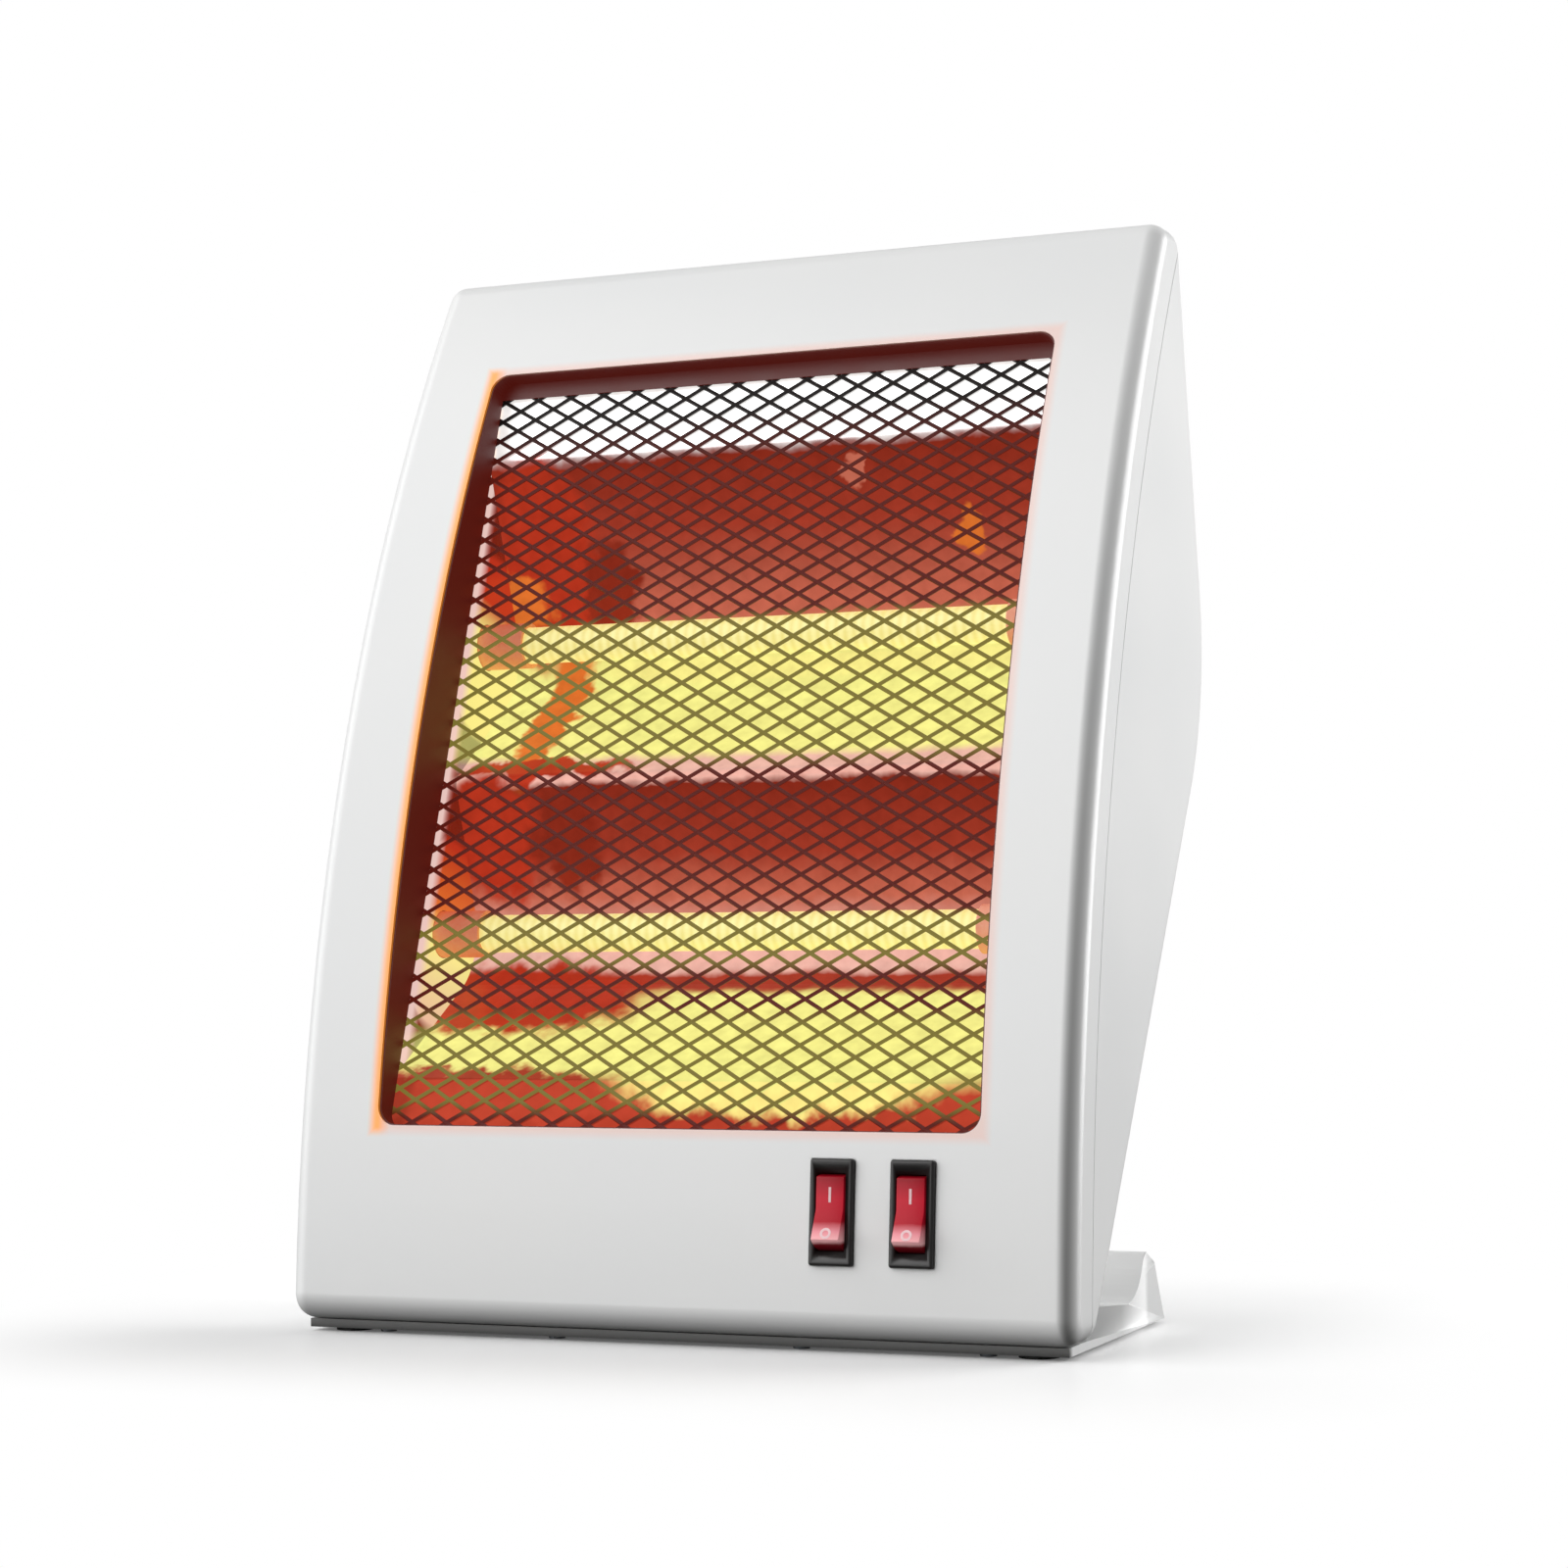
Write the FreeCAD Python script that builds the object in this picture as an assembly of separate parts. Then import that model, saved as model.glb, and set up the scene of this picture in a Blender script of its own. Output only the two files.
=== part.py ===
import FreeCAD, Part
import math
import os
from FreeCAD import Placement, Rotation, Vector

# Two-tube quartz room heater: a leaning, lens-shaped plastic body on a low stand. A curved front cover
# frames an expanded-metal guard, with a two-trough reflector and two quartz elements behind it.
# X runs to the right as one faces the heater, Y to the back and Z up, in millimetres.

# Sizes shared by several pieces
OVERRUN = 5.0
FIT_GAP = 0.2
SCREW_RADIUS = 1.5
SCREW_HEAD_RADIUS = 3.0
SCREW_HEAD_HEIGHT = 2.0
SCREW_BITE = 8.0
POST_RADIUS = 4.5
POST_HOLE_RADIUS = SCREW_RADIUS + FIT_GAP

# Body: front and rear covers share one lens-shaped profile
BODY_WIDTH = 255.0
BODY_HEIGHT = 344.0
BODY_DEPTH = 150.0
BODY_GROUND_GAP = 4.0
TOP_THICKNESS = 18.0
BOTTOM_THICKNESS = 22.1
FRONT_BULGE = 24.4
REAR_SWELL = 21.4
REAR_RADIUS = 90.0
REAR_CROWN_SHARE = 0.6206
WALL = 2.5
CORNER_RADIUS = 8.0
SIDE_RADIUS = 6.0
PARTING_DEPTH = 16.0
PARTING_GAP = 0.4

# Front opening and its inward rim
OPENING_SIDE_MARGIN = 29.0
OPENING_TOP_MARGIN = 41.9
OPENING_BOTTOM_MARGIN = 60.4
OPENING_CORNER_RADIUS = 6.0
RIM_WALL = 2.0
RIM_LEAST_DEPTH = 7.0

# Guard: expanded steel sheet, drawn with coarse cells
GUARD_THICKNESS = 0.8
GUARD_MARGIN = 6.0
GUARD_CELL_LONG = 23.6
GUARD_CELL_SHORT = 13.8
GUARD_STRAND = 1.6

# Reflector: bent sheet with two troughs, and its end plates
SHEET = 0.8
REFLECTOR_SIDE_MARGIN = 1.5
REFLECTOR_END_MARGIN = 5.0
UPPER_LIP = 33.0
LOWER_LIP = 22.0
TUBE_UPPER_SHARE = 0.28
TUBE_LOWER_SHARE = 0.25
TROUGH_DEPTH_SHARE = 0.307
RIDGE_DEPTH = 10.0
TROUGH_BEND_RADIUS = 22.0
RIDGE_BEND_RADIUS = 4.0
LIP_BEND_RADIUS = 2.5
END_PLATE_MARGIN = 7.0
END_PLATE_OVERHANG = 6.0
END_PLATE_CORNER = 18.0
TAB_LENGTH = 15.0
TAB_HEIGHT = 20.0
TAB_INSET = 22.0
TAB_SCREW_INSET = 9.0

# Quartz elements
TUBE_RADIUS = 6.0
TUBE_WALL = 1.1
TUBE_DEPTH = 18.0
TUBE_END_GAP = 5.0
CAP_RADIUS = 7.5
CAP_REACH = 16.0
CAP_OVERHANG = 8.0
COIL_RADIUS = 3.8
COIL_WIRE_RADIUS = 0.6
TERMINAL_RADIUS = 1.6
TERMINAL_LENGTH = 14.0
TERMINAL_SUNK = 5.0
NUT_RADIUS = 3.5
NUT_HEIGHT = 2.6
RETAINER_RADIUS = 10.0
RETAINER_THICKNESS = 1.0

# Thermal cut-out on the back of the reflector's upper lip
CUTOUT_RADIUS = 8.0
CUTOUT_HEIGHT = 6.0
CUTOUT_INSET = 38.0
CUTOUT_CAN_RADIUS = 6.0
CUTOUT_CAN_HEIGHT = 3.0
CUTOUT_BLADE_WIDTH = 4.8
CUTOUT_BLADE_THICKNESS = 0.8
CUTOUT_BLADE_LENGTH = 7.0
CUTOUT_BLADE_SPACING = 8.0

# Rocker switches
SWITCH_PAIR_INSET = 61.5
SWITCH_SPACING = 24.9
SWITCH_HEIGHT = 41.0
BEZEL_WIDTH = 13.6
BEZEL_LENGTH = 31.0
BEZEL_THICKNESS = 2.0
BEZEL_CORNER_RADIUS = 0.9
SEAT_DEPTH = 0.4
SWITCH_BODY_WIDTH = 12.0
SWITCH_BODY_LENGTH = 27.0
SWITCH_BODY_DEPTH = 19.0
SWITCH_CAVITY_DEPTH = 11.0
ROCKER_WIDTH = 8.6
ROCKER_RADIUS = 11.0
ROCKER_GAP = 0.3
ROCKER_PIVOT_DEPTH = 1.6
ROCKER_SKIRT = 4.0
ROCKER_END_RISE = 6.4
ROCKER_MIDDLE_RISE = 4.2
ROCKER_THROW = 11.0
PIVOT_RADIUS = 1.2
PIVOT_GAP = 0.06
PIVOT_LENGTH = 1.2
BLADE_WIDTH = 4.8
BLADE_THICKNESS = 0.8
BLADE_LENGTH = 8.0
BLADE_PITCH = 8.6
BLADE_HOLE_RADIUS = 0.9

# Stand: a low tray behind and under the body, with a raised heel
STAND_SIDE_INSET = 4.0
STAND_FRONT = 7.0
STAND_DEPTH = 103.0
STAND_FOOT_GAP = 1.2
STAND_TOP_FRONT = 12.9
STAND_TOP_REAR = 9.8
HEEL_SETBACK = 39.0
HEEL_PEAK_SETBACK = 21.0
HEEL_PEAK_HEIGHT = 24.5
HEEL_SHOULDER_SETBACK = 10.0
HEEL_SHOULDER_HEIGHT = 19.5
STAND_WALL = 2.5
BODY_SEAT_GAP = 0.2
STAND_SCREW_Y = 11.0
STAND_SCREW_INSET = 29.5
STAND_SCREW_SPACING = 58.0
STAND_POST_HEIGHT = 12.0

# Steel sole plate of the stand, and feet
PLATE_THICKNESS = 2.0
PLATE_GAP = 0.3
PLATE_SCREW_INSET = 27.5
PLATE_POST_RADIUS = 4.0
FOOT_RADIUS = 6.0
FOOT_HEIGHT = 2.0
FOOT_SIDE_INSET = 11.5
FOOT_FRONT_INSET = 8.0
FOOT_REAR_INSET = 11.0

# Tip-over switch in the heel
TIP_SETBACK = 15.7
TIP_BODY_LENGTH = 22.0
TIP_BODY_WIDTH = 9.0
TIP_BODY_HEIGHT = 11.5
TIP_CAVITY_RADIUS = 3.9
TIP_CAVITY_HEIGHT = 10.0
PLUNGER_RADIUS = 2.6
PLUNGER_GAP = 0.3
PLUNGER_FLANGE_RADIUS = 3.6
PLUNGER_FLANGE_HEIGHT = 1.0
PLUNGER_TRAVEL = 3.0
PLUNGER_TIP_RADIUS = 0.8
SPRING_RADIUS = 2.6
SPRING_WIRE_RADIUS = 0.3

# Rear cover: vents, cord inlet and screw posts
VENT_SIDE_MARGIN = 42.5
VENT_WIDTH = 4.0
VENT_PITCH = 9.0
VENT_COLUMN_GAP = 14.0
VENT_TOP_MARGIN = 36.0
VENT_CROWN_GAP = 9.4
VENT_INLET_GAP = 22.0
INLET_INSET = 39.5
INLET_HEIGHT = 62.0
INLET_BORE_RADIUS = 3.6
INLET_BODY_RADIUS = 6.0
INLET_FLANGE_RADIUS = 8.5
INLET_FLANGE_THICKNESS = 3.0
INLET_TAIL = 9.0
INLET_NUT_RADIUS = 8.5
INLET_NUT_THICKNESS = 3.0
COVER_POST_SIDE_INSET = 12.0
COVER_POST_TOP_INSET = 11.0
COVER_POST_BOTTOM_INSET = 17.0
COVER_POST_MEET = 26.0
COVER_SCREW_SEAT = 40.0
COVER_WELL_RADIUS = SCREW_HEAD_RADIUS + FIT_GAP
REAR_POST_RADIUS = COVER_WELL_RADIUS + WALL

# Terminal block on the floor of the front cover
BLOCK_Y = 13.0
BLOCK_LENGTH = 34.0
BLOCK_WIDTH = 9.0
BLOCK_HEIGHT = 12.0
BLOCK_WAYS = 3
BLOCK_HOLE_RADIUS = 1.8
BLOCK_SCREW_RADIUS = 1.6
BLOCK_HOLE_DROP = 7.5
BLOCK_NOTCH = 2.4

AXIS_X = Vector(1, 0, 0)
AXIS_Y = Vector(0, 1, 0)
AXIS_Z = Vector(0, 0, 1)

# Values worked out from the sizes above
rise = BODY_HEIGHT - BODY_GROUND_GAP
front_setback = BODY_DEPTH - REAR_SWELL - TOP_THICKNESS
chord = math.hypot(front_setback, rise)
front_radius = chord ** 2 / (8 * FRONT_BULGE) + FRONT_BULGE / 2
centre_offset = front_radius - FRONT_BULGE
front_centre_y = front_setback / 2 + centre_offset * rise / chord
front_centre_z = BODY_GROUND_GAP + rise / 2 - centre_offset * front_setback / chord
rear_centre_y = BODY_DEPTH - REAR_RADIUS
crown_height = BODY_GROUND_GAP + REAR_CROWN_SHARE * rise


def tangent_lean(run, climb):
    """Lean, in radians, of the line that touches the rear crown and ends at a place seen from its centre."""
    return math.atan2(climb, run) - math.acos(REAR_RADIUS / math.hypot(run, climb))


upper_lean = tangent_lean(BODY_DEPTH - REAR_SWELL - rear_centre_y, BODY_HEIGHT - crown_height)
lower_lean = tangent_lean(BOTTOM_THICKNESS - rear_centre_y, crown_height - BODY_GROUND_GAP)


def front_lean_at(height):
    """Backward lean of the front face, in radians, at a height."""
    return math.asin((height - front_centre_z) / front_radius)


def front_frame(lean, depth=0.0):
    """Frame tangent to the front face where it leans so: local X right, Y up the face, Z outwards."""
    radius = front_radius - depth
    origin = Vector(0, front_centre_y - radius * math.cos(lean), front_centre_z + radius * math.sin(lean))
    return Placement(origin, Rotation(AXIS_X, 90 - math.degrees(lean)))


def rear_point(angle):
    return Vector(0, rear_centre_y + REAR_RADIUS * math.cos(angle),
                  crown_height + REAR_RADIUS * math.sin(angle))


def rear_upper_at(height):
    start = rear_point(upper_lean)
    return Vector(0, start.y - (height - start.z) * math.tan(upper_lean), height)


def rear_lower_at(height):
    start = rear_point(-lower_lean)
    return Vector(0, start.y - (start.z - height) * math.tan(lower_lean), height)


def rear_frame(height, upper):
    """Frame on the straight part of the rear face: local X left to right, Y up the face, Z outwards."""
    base = rear_upper_at(height) if upper else rear_lower_at(height)
    turn = math.degrees(upper_lean if upper else -lower_lean)
    return Placement(base, Rotation(AXIS_X, 90 + turn) * Rotation(AXIS_Y, 180))


def placed(shape, placement):
    copy = shape.copy()
    copy.Placement = placement.multiply(copy.Placement)
    return copy


def box(x0, x1, y0, y1, z0, z1):
    return Part.makeBox(x1 - x0, y1 - y0, z1 - z0, Vector(x0, y0, z0))


def cylinder(radius, start, direction, length):
    return Part.makeCylinder(radius, length, start, direction)


def fuse_all(shapes):
    whole = shapes[0]
    for shape in shapes[1:]:
        whole = whole.fuse(shape)
    return whole.removeSplitter()


def cut_all(shape, tools):
    for tool in tools:
        shape = shape.cut(tool)
    return shape


def rounded_prism(width, height, radius, z0, z1):
    """Upright prism of a rounded rectangle centred on the local origin."""
    prism = box(-width / 2, width / 2, -height / 2, height / 2, z0, z1)
    upright = [edge for edge in prism.Edges if abs(edge.tangentAt(edge.FirstParameter).z) > 0.9]
    return prism.makeFillet(radius, upright)


def rounded_path(points, radii):
    """Open wire of straight runs joined by tangent arcs, from (y, z) pairs in the plane X = 0."""
    corners = [Vector(0, y, z) for y, z in points]
    edges = []
    last = corners[0]
    for before, corner, after, radius in zip(corners, corners[1:], corners[2:], radii):
        to_before = (before - corner).normalize()
        to_after = (after - corner).normalize()
        half_angle = to_before.getAngle(to_after) / 2
        reach = radius / math.tan(half_angle)
        start = corner + to_before * reach
        end = corner + to_after * reach
        bisector = (to_before + to_after).normalize()
        middle = corner + bisector * (radius / math.sin(half_angle) - radius)
        edges.append(Part.LineSegment(last, start).toShape())
        edges.append(Part.Arc(start, middle, end).toShape())
        last = end
    edges.append(Part.LineSegment(last, corners[-1]).toShape())
    return Part.Wire(edges)


def body_solid(inset):
    """The lens-shaped body, drawn in by an inset on every side."""
    top_front = Vector(0, front_setback, BODY_HEIGHT)
    bottom_front = Vector(0, 0, BODY_GROUND_GAP)
    middle_frame = front_frame((front_lean_at(BODY_HEIGHT) + front_lean_at(BODY_GROUND_GAP)) / 2)
    top_rear = rear_upper_at(BODY_HEIGHT)
    bottom_rear = rear_lower_at(BODY_GROUND_GAP)
    outline = Part.Wire([
        Part.Arc(bottom_front, middle_frame.Base, top_front).toShape(),
        Part.LineSegment(top_front, top_rear).toShape(),
        Part.LineSegment(top_rear, rear_point(upper_lean)).toShape(),
        Part.Arc(rear_point(upper_lean), rear_point(0), rear_point(-lower_lean)).toShape(),
        Part.LineSegment(rear_point(-lower_lean), bottom_rear).toShape(),
        Part.LineSegment(bottom_rear, bottom_front).toShape(),
    ])
    face = Part.Face(outline)
    if inset:
        face = face.makeOffset2D(-inset)
    half = BODY_WIDTH / 2 - inset
    face.translate(Vector(-half, 0, 0))
    solid = face.extrude(Vector(2 * half, 0, 0))
    across = [edge for edge in solid.Edges if abs(edge.Vertexes[0].X - edge.Vertexes[-1].X) > half]
    across.sort(key=lambda edge: edge.CenterOfMass.z)
    solid = solid.makeFillet(CORNER_RADIUS - inset, across[:2] + across[-2:])
    rims = [edge for edge in solid.Edges
            if all(abs(abs(vertex.X) - half) < FIT_GAP / 10 for vertex in edge.Vertexes)
            and abs(abs(edge.CenterOfMass.x) - half) < FIT_GAP / 10]
    return solid.makeFillet(SIDE_RADIUS - inset, rims)


def front_drum(depth):
    """Everything behind a surface parallel to the front face, at a depth below it."""
    heights = (-BODY_DEPTH / 2, BODY_HEIGHT / 2, BODY_HEIGHT + BODY_DEPTH / 2)
    arc = [front_frame(front_lean_at(height), depth).Base for height in heights]
    back = BODY_DEPTH * 2
    low = Vector(0, back, arc[0].z)
    high = Vector(0, back, arc[2].z)
    outline = Part.Wire([Part.Arc(*arc).toShape(), Part.LineSegment(arc[2], high).toShape(),
                         Part.LineSegment(high, low).toShape(), Part.LineSegment(low, arc[0]).toShape()])
    face = Part.Face(outline)
    face.translate(Vector(-BODY_WIDTH, 0, 0))
    return face.extrude(Vector(2 * BODY_WIDTH, 0, 0))


# The opening keeps its margins to the body's edges, measured along the front face
lean_high = front_lean_at(BODY_HEIGHT) - OPENING_TOP_MARGIN / front_radius
lean_low = front_lean_at(BODY_GROUND_GAP) + OPENING_BOTTOM_MARGIN / front_radius
opening_frame = front_frame((lean_high + lean_low) / 2)
opening_width = BODY_WIDTH - 2 * OPENING_SIDE_MARGIN
opening_height = 2 * front_radius * math.sin((lean_high - lean_low) / 2)
opening_sag = front_radius - math.sqrt(front_radius ** 2 - (opening_height / 2) ** 2)
guard_front = -(opening_sag + RIM_LEAST_DEPTH)
guard_back = guard_front - GUARD_THICKNESS

# The reflector and the elements follow the opening, the trough's depth follows the body's
reflector_width = opening_width + 2 * REFLECTOR_SIDE_MARGIN
reflector_edge = opening_height / 2 + REFLECTOR_END_MARGIN
trough_top = reflector_edge - UPPER_LIP
trough_bottom = LOWER_LIP - reflector_edge
trough_depth = TROUGH_DEPTH_SHARE * BODY_DEPTH
tube_upper = trough_top - TUBE_UPPER_SHARE * (trough_top - trough_bottom)
tube_lower = trough_bottom + TUBE_LOWER_SHARE * (trough_top - trough_bottom)
tube_level = guard_back - TUBE_DEPTH
tube_half_length = reflector_width / 2 - TUBE_END_GAP
cap_inner_end = reflector_width / 2 - CAP_REACH
cap_outer_end = reflector_width / 2 + CAP_OVERHANG
end_plate_top = trough_top + END_PLATE_MARGIN
end_plate_bottom = trough_bottom - END_PLATE_MARGIN
tab_places = (end_plate_top - TAB_INSET, end_plate_bottom + TAB_INSET)
tab_screw_x = reflector_width / 2 + SHEET + TAB_SCREW_INSET

# The stand and what is fixed to it follow the body's width and the stand's back edge
stand_width = BODY_WIDTH - 2 * STAND_SIDE_INSET
stand_screw_x = BODY_WIDTH / 2 - STAND_SCREW_INSET
block_x = STAND_SCREW_SPACING / 2 - stand_screw_x
foot_x = stand_width / 2 - FOOT_SIDE_INSET
foot_front_y = STAND_FRONT + FOOT_FRONT_INSET
foot_rear_y = STAND_DEPTH - FOOT_REAR_INSET
tip_y = STAND_DEPTH - TIP_SETBACK
tip_floor = STAND_FOOT_GAP + PLATE_THICKNESS
inlet_x = INLET_INSET - BODY_WIDTH / 2

outer_body = body_solid(0)
middle_body = body_solid(WALL / 2)
inner_body = body_solid(WALL)
post_x = BODY_WIDTH / 2 - COVER_POST_SIDE_INSET
post_heights = (opening_height / 2 - COVER_POST_TOP_INSET, 0, COVER_POST_BOTTOM_INSET - opening_height / 2)
cover_posts = [(side * post_x, up) for side in (-1, 1) for up in post_heights]
tab_posts = [(side * tab_screw_x, up) for side in (-1, 1) for up in tab_places]
stand_screws = [side * x for side in (-1, 1) for x in (stand_screw_x - STAND_SCREW_SPACING, stand_screw_x)]
plate_front = rear_lower_at(STAND_TOP_FRONT).y + BODY_SEAT_GAP + STAND_WALL + PLATE_GAP
plate_rear = STAND_DEPTH - 2 * STAND_WALL - PLATE_GAP
plate_screw_x = stand_width / 2 - PLATE_SCREW_INSET
plate_screws = [(side * plate_screw_x, (plate_front + plate_rear) / 2) for side in (-1, 1)]
switch_pair_x = BODY_WIDTH / 2 - SWITCH_PAIR_INSET
switch_places = {"left": switch_pair_x - SWITCH_SPACING / 2, "right": switch_pair_x + SWITCH_SPACING / 2}
switch_frame = front_frame(front_lean_at(SWITCH_HEIGHT), SEAT_DEPTH)


def along_normal(radius, x, up, low, high):
    """Round bar along the opening's normal, between two levels."""
    return placed(cylinder(radius, Vector(x, up, low), AXIS_Z, high - low), opening_frame)


def make_front_cover():
    """Curved moulded face with a window, its inward rim, two switch seats and inner screw posts."""
    reach = BODY_DEPTH
    shell = outer_body.cut(inner_body).cut(front_drum(PARTING_DEPTH))
    window = rounded_prism(opening_width, opening_height, OPENING_CORNER_RADIUS, -reach, reach)
    window = placed(window, opening_frame)
    rim = placed(rounded_prism(opening_width + 2 * RIM_WALL, opening_height + 2 * RIM_WALL,
                               OPENING_CORNER_RADIUS + RIM_WALL, guard_front, reach), opening_frame)
    rim = rim.common(outer_body)
    posts = []
    for x, up in cover_posts:
        posts.append(along_normal(POST_RADIUS, x, up, -COVER_POST_MEET, OVERRUN).common(middle_body))
    for x, up in tab_posts:
        posts.append(along_normal(POST_RADIUS, x, up, guard_back, OVERRUN).common(middle_body))
    for x in stand_screws:
        start = Vector(x, STAND_SCREW_Y, BODY_GROUND_GAP + WALL / 2)
        posts.append(cylinder(POST_RADIUS, start, AXIS_Z, STAND_POST_HEIGHT))
    cover = fuse_all([shell, rim] + posts).cut(window)
    holes = []
    for x, up in cover_posts:
        holes.append(along_normal(SCREW_RADIUS, x, up, -reach, -COVER_POST_MEET + SCREW_BITE))
    for x, up in tab_posts:
        holes.append(along_normal(SCREW_RADIUS, x, up, -reach, guard_back + SCREW_BITE))
    for x in stand_screws:
        start = Vector(x, STAND_SCREW_Y, 0)
        holes.append(cylinder(SCREW_RADIUS, start, AXIS_Z, BODY_GROUND_GAP + SCREW_BITE))
    for x in switch_places.values():
        centre = Placement(Vector(x, 0, 0), Rotation())
        hole = box(-SWITCH_BODY_WIDTH / 2 - FIT_GAP, SWITCH_BODY_WIDTH / 2 + FIT_GAP,
                   -SWITCH_BODY_LENGTH / 2 - FIT_GAP, SWITCH_BODY_LENGTH / 2 + FIT_GAP,
                   -SWITCH_BODY_DEPTH, OVERRUN)
        seat = box(-BEZEL_WIDTH / 2 - FIT_GAP, BEZEL_WIDTH / 2 + FIT_GAP,
                   -BEZEL_LENGTH / 2 - FIT_GAP, BEZEL_LENGTH / 2 + FIT_GAP, 0, OVERRUN)
        for cut in (hole, seat):
            holes.append(placed(cut, switch_frame.multiply(centre)))
    return cut_all(cover, holes)


def make_rear_cover():
    """Moulded back shell with two fields of vent slots, long screw posts and the cord inlet's hole."""
    drum = front_drum(PARTING_DEPTH + PARTING_GAP)
    shell = outer_body.cut(inner_body).common(drum)
    posts = []
    holes = []
    for x, up in cover_posts:
        posts.append(along_normal(REAR_POST_RADIUS, x, up, -BODY_DEPTH, -COVER_POST_MEET).common(middle_body))
        holes.append(along_normal(POST_HOLE_RADIUS, x, up, -BODY_DEPTH, OVERRUN))
        holes.append(along_normal(COVER_WELL_RADIUS, x, up, -BODY_DEPTH, -COVER_SCREW_SEAT))
    vent_length = BODY_WIDTH / 2 - VENT_SIDE_MARGIN - VENT_COLUMN_GAP / 2
    slot = vent_slot(vent_length)
    column = (vent_length + VENT_COLUMN_GAP) / 2
    above_crown = rear_point(upper_lean).z + VENT_CROWN_GAP
    below_crown = rear_point(-lower_lean).z - VENT_CROWN_GAP
    upper_field = (True, upper_lean, above_crown, BODY_HEIGHT - VENT_TOP_MARGIN)
    lower_field = (False, lower_lean, INLET_HEIGHT + VENT_INLET_GAP, below_crown)
    for upper, lean, start, end in (upper_field, lower_field):
        rows = int((end - start) / (VENT_PITCH * math.cos(lean))) + 1
        for row in range(rows):
            for side in (-1, 1):
                place = Placement(Vector(side * column, row * VENT_PITCH, 0), Rotation())
                holes.append(placed(slot, rear_frame(start, upper).multiply(place)))
    inlet_hole = cylinder(INLET_BODY_RADIUS + FIT_GAP, Vector(0, 0, -INLET_TAIL), AXIS_Z, 2 * INLET_TAIL)
    holes.append(placed(inlet_hole, inlet_frame()))
    return cut_all(fuse_all([shell] + posts), holes)


def inlet_frame(depth=0.0):
    """Frame on the rear face where the cord comes in, at a depth below the face."""
    return rear_frame(INLET_HEIGHT, False).multiply(Placement(Vector(-inlet_x, 0, -depth), Rotation()))


def vent_slot(length):
    """Slot through the rear wall with three-sided ends, lying along local X."""
    radius = VENT_WIDTH / 2
    corners = []
    for degrees in (-90, -30, 30, 90, 90, 150, 210, 270):
        angle = math.radians(degrees)
        side = 1 if len(corners) < 4 else -1
        x = side * (length / 2 - radius) + radius * math.cos(angle)
        corners.append(Vector(x, radius * math.sin(angle), -2 * WALL))
    return Part.Face(Part.makePolygon(corners + corners[:1])).extrude(Vector(0, 0, 3 * WALL))


def make_cover_screws():
    """Six long screws that pull the rear cover onto the front one."""
    screws = []
    for x, up in cover_posts:
        seat = -COVER_SCREW_SEAT
        tip = -COVER_POST_MEET + SCREW_BITE - FIT_GAP
        shank = along_normal(SCREW_RADIUS - FIT_GAP / 4, x, up, seat, tip)
        head = along_normal(SCREW_HEAD_RADIUS, x, up, seat - SCREW_HEAD_HEIGHT, seat)
        screws.append(fuse_all([shank, head]))
    return Part.Compound(screws)


def make_guard_mesh():
    """Flat expanded-metal guard: one sheet with whole diamond gaps inside a plain border."""
    half_width = opening_width / 2 + GUARD_MARGIN
    half_height = opening_height / 2 + GUARD_MARGIN
    sheet = [Vector(x, y, guard_back) for x, y in ((-half_width, -half_height), (half_width, -half_height),
                                                   (half_width, half_height), (-half_width, half_height))]
    border = Part.makePolygon(sheet + sheet[:1])
    long_half = (GUARD_CELL_LONG - 2 * GUARD_STRAND) / 2
    short_half = (GUARD_CELL_SHORT - 2 * GUARD_STRAND) / 2 + GUARD_STRAND / 4
    columns = int(opening_width // GUARD_CELL_LONG)
    rows = int(opening_height // GUARD_CELL_SHORT)
    gaps = []
    for row in range(2 * rows - 1):
        offset = row % 2
        for column in range(columns - offset):
            x = (column - (columns - offset - 1) / 2) * GUARD_CELL_LONG
            y = (row - (rows - 1)) * GUARD_CELL_SHORT / 2
            corners = [Vector(x + a * long_half, y + b * short_half, guard_back)
                       for a, b in ((1, 0), (0, -1), (-1, 0), (0, 1))]
            gaps.append(Part.makePolygon(corners + corners[:1]))
    face = Part.Face([border] + gaps)
    return placed(face.extrude(Vector(0, 0, GUARD_THICKNESS)), opening_frame)


def reflector_path():
    ridge = (tube_upper + tube_lower) / 2
    floor = guard_back - trough_depth
    points = [(reflector_edge, guard_back), (trough_top, guard_back), (tube_upper, floor),
              (ridge, guard_back - RIDGE_DEPTH), (tube_lower, floor), (trough_bottom, guard_back),
              (-reflector_edge, guard_back)]
    radii = [LIP_BEND_RADIUS, TROUGH_BEND_RADIUS, RIDGE_BEND_RADIUS, TROUGH_BEND_RADIUS, LIP_BEND_RADIUS]
    return rounded_path(points, radii)


def make_reflector():
    """Polished sheet bent into two troughs between an upper and a lower lip."""
    path = reflector_path()
    strip = path.makeOffset2D(SHEET, 0, True, True)
    if strip.CenterOfMass.z > path.CenterOfMass.z:
        strip = path.makeOffset2D(-SHEET, 0, True, True)
    strip.translate(Vector(-reflector_width / 2, 0, 0))
    return placed(strip.extrude(Vector(reflector_width, 0, 0)), opening_frame)


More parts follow.
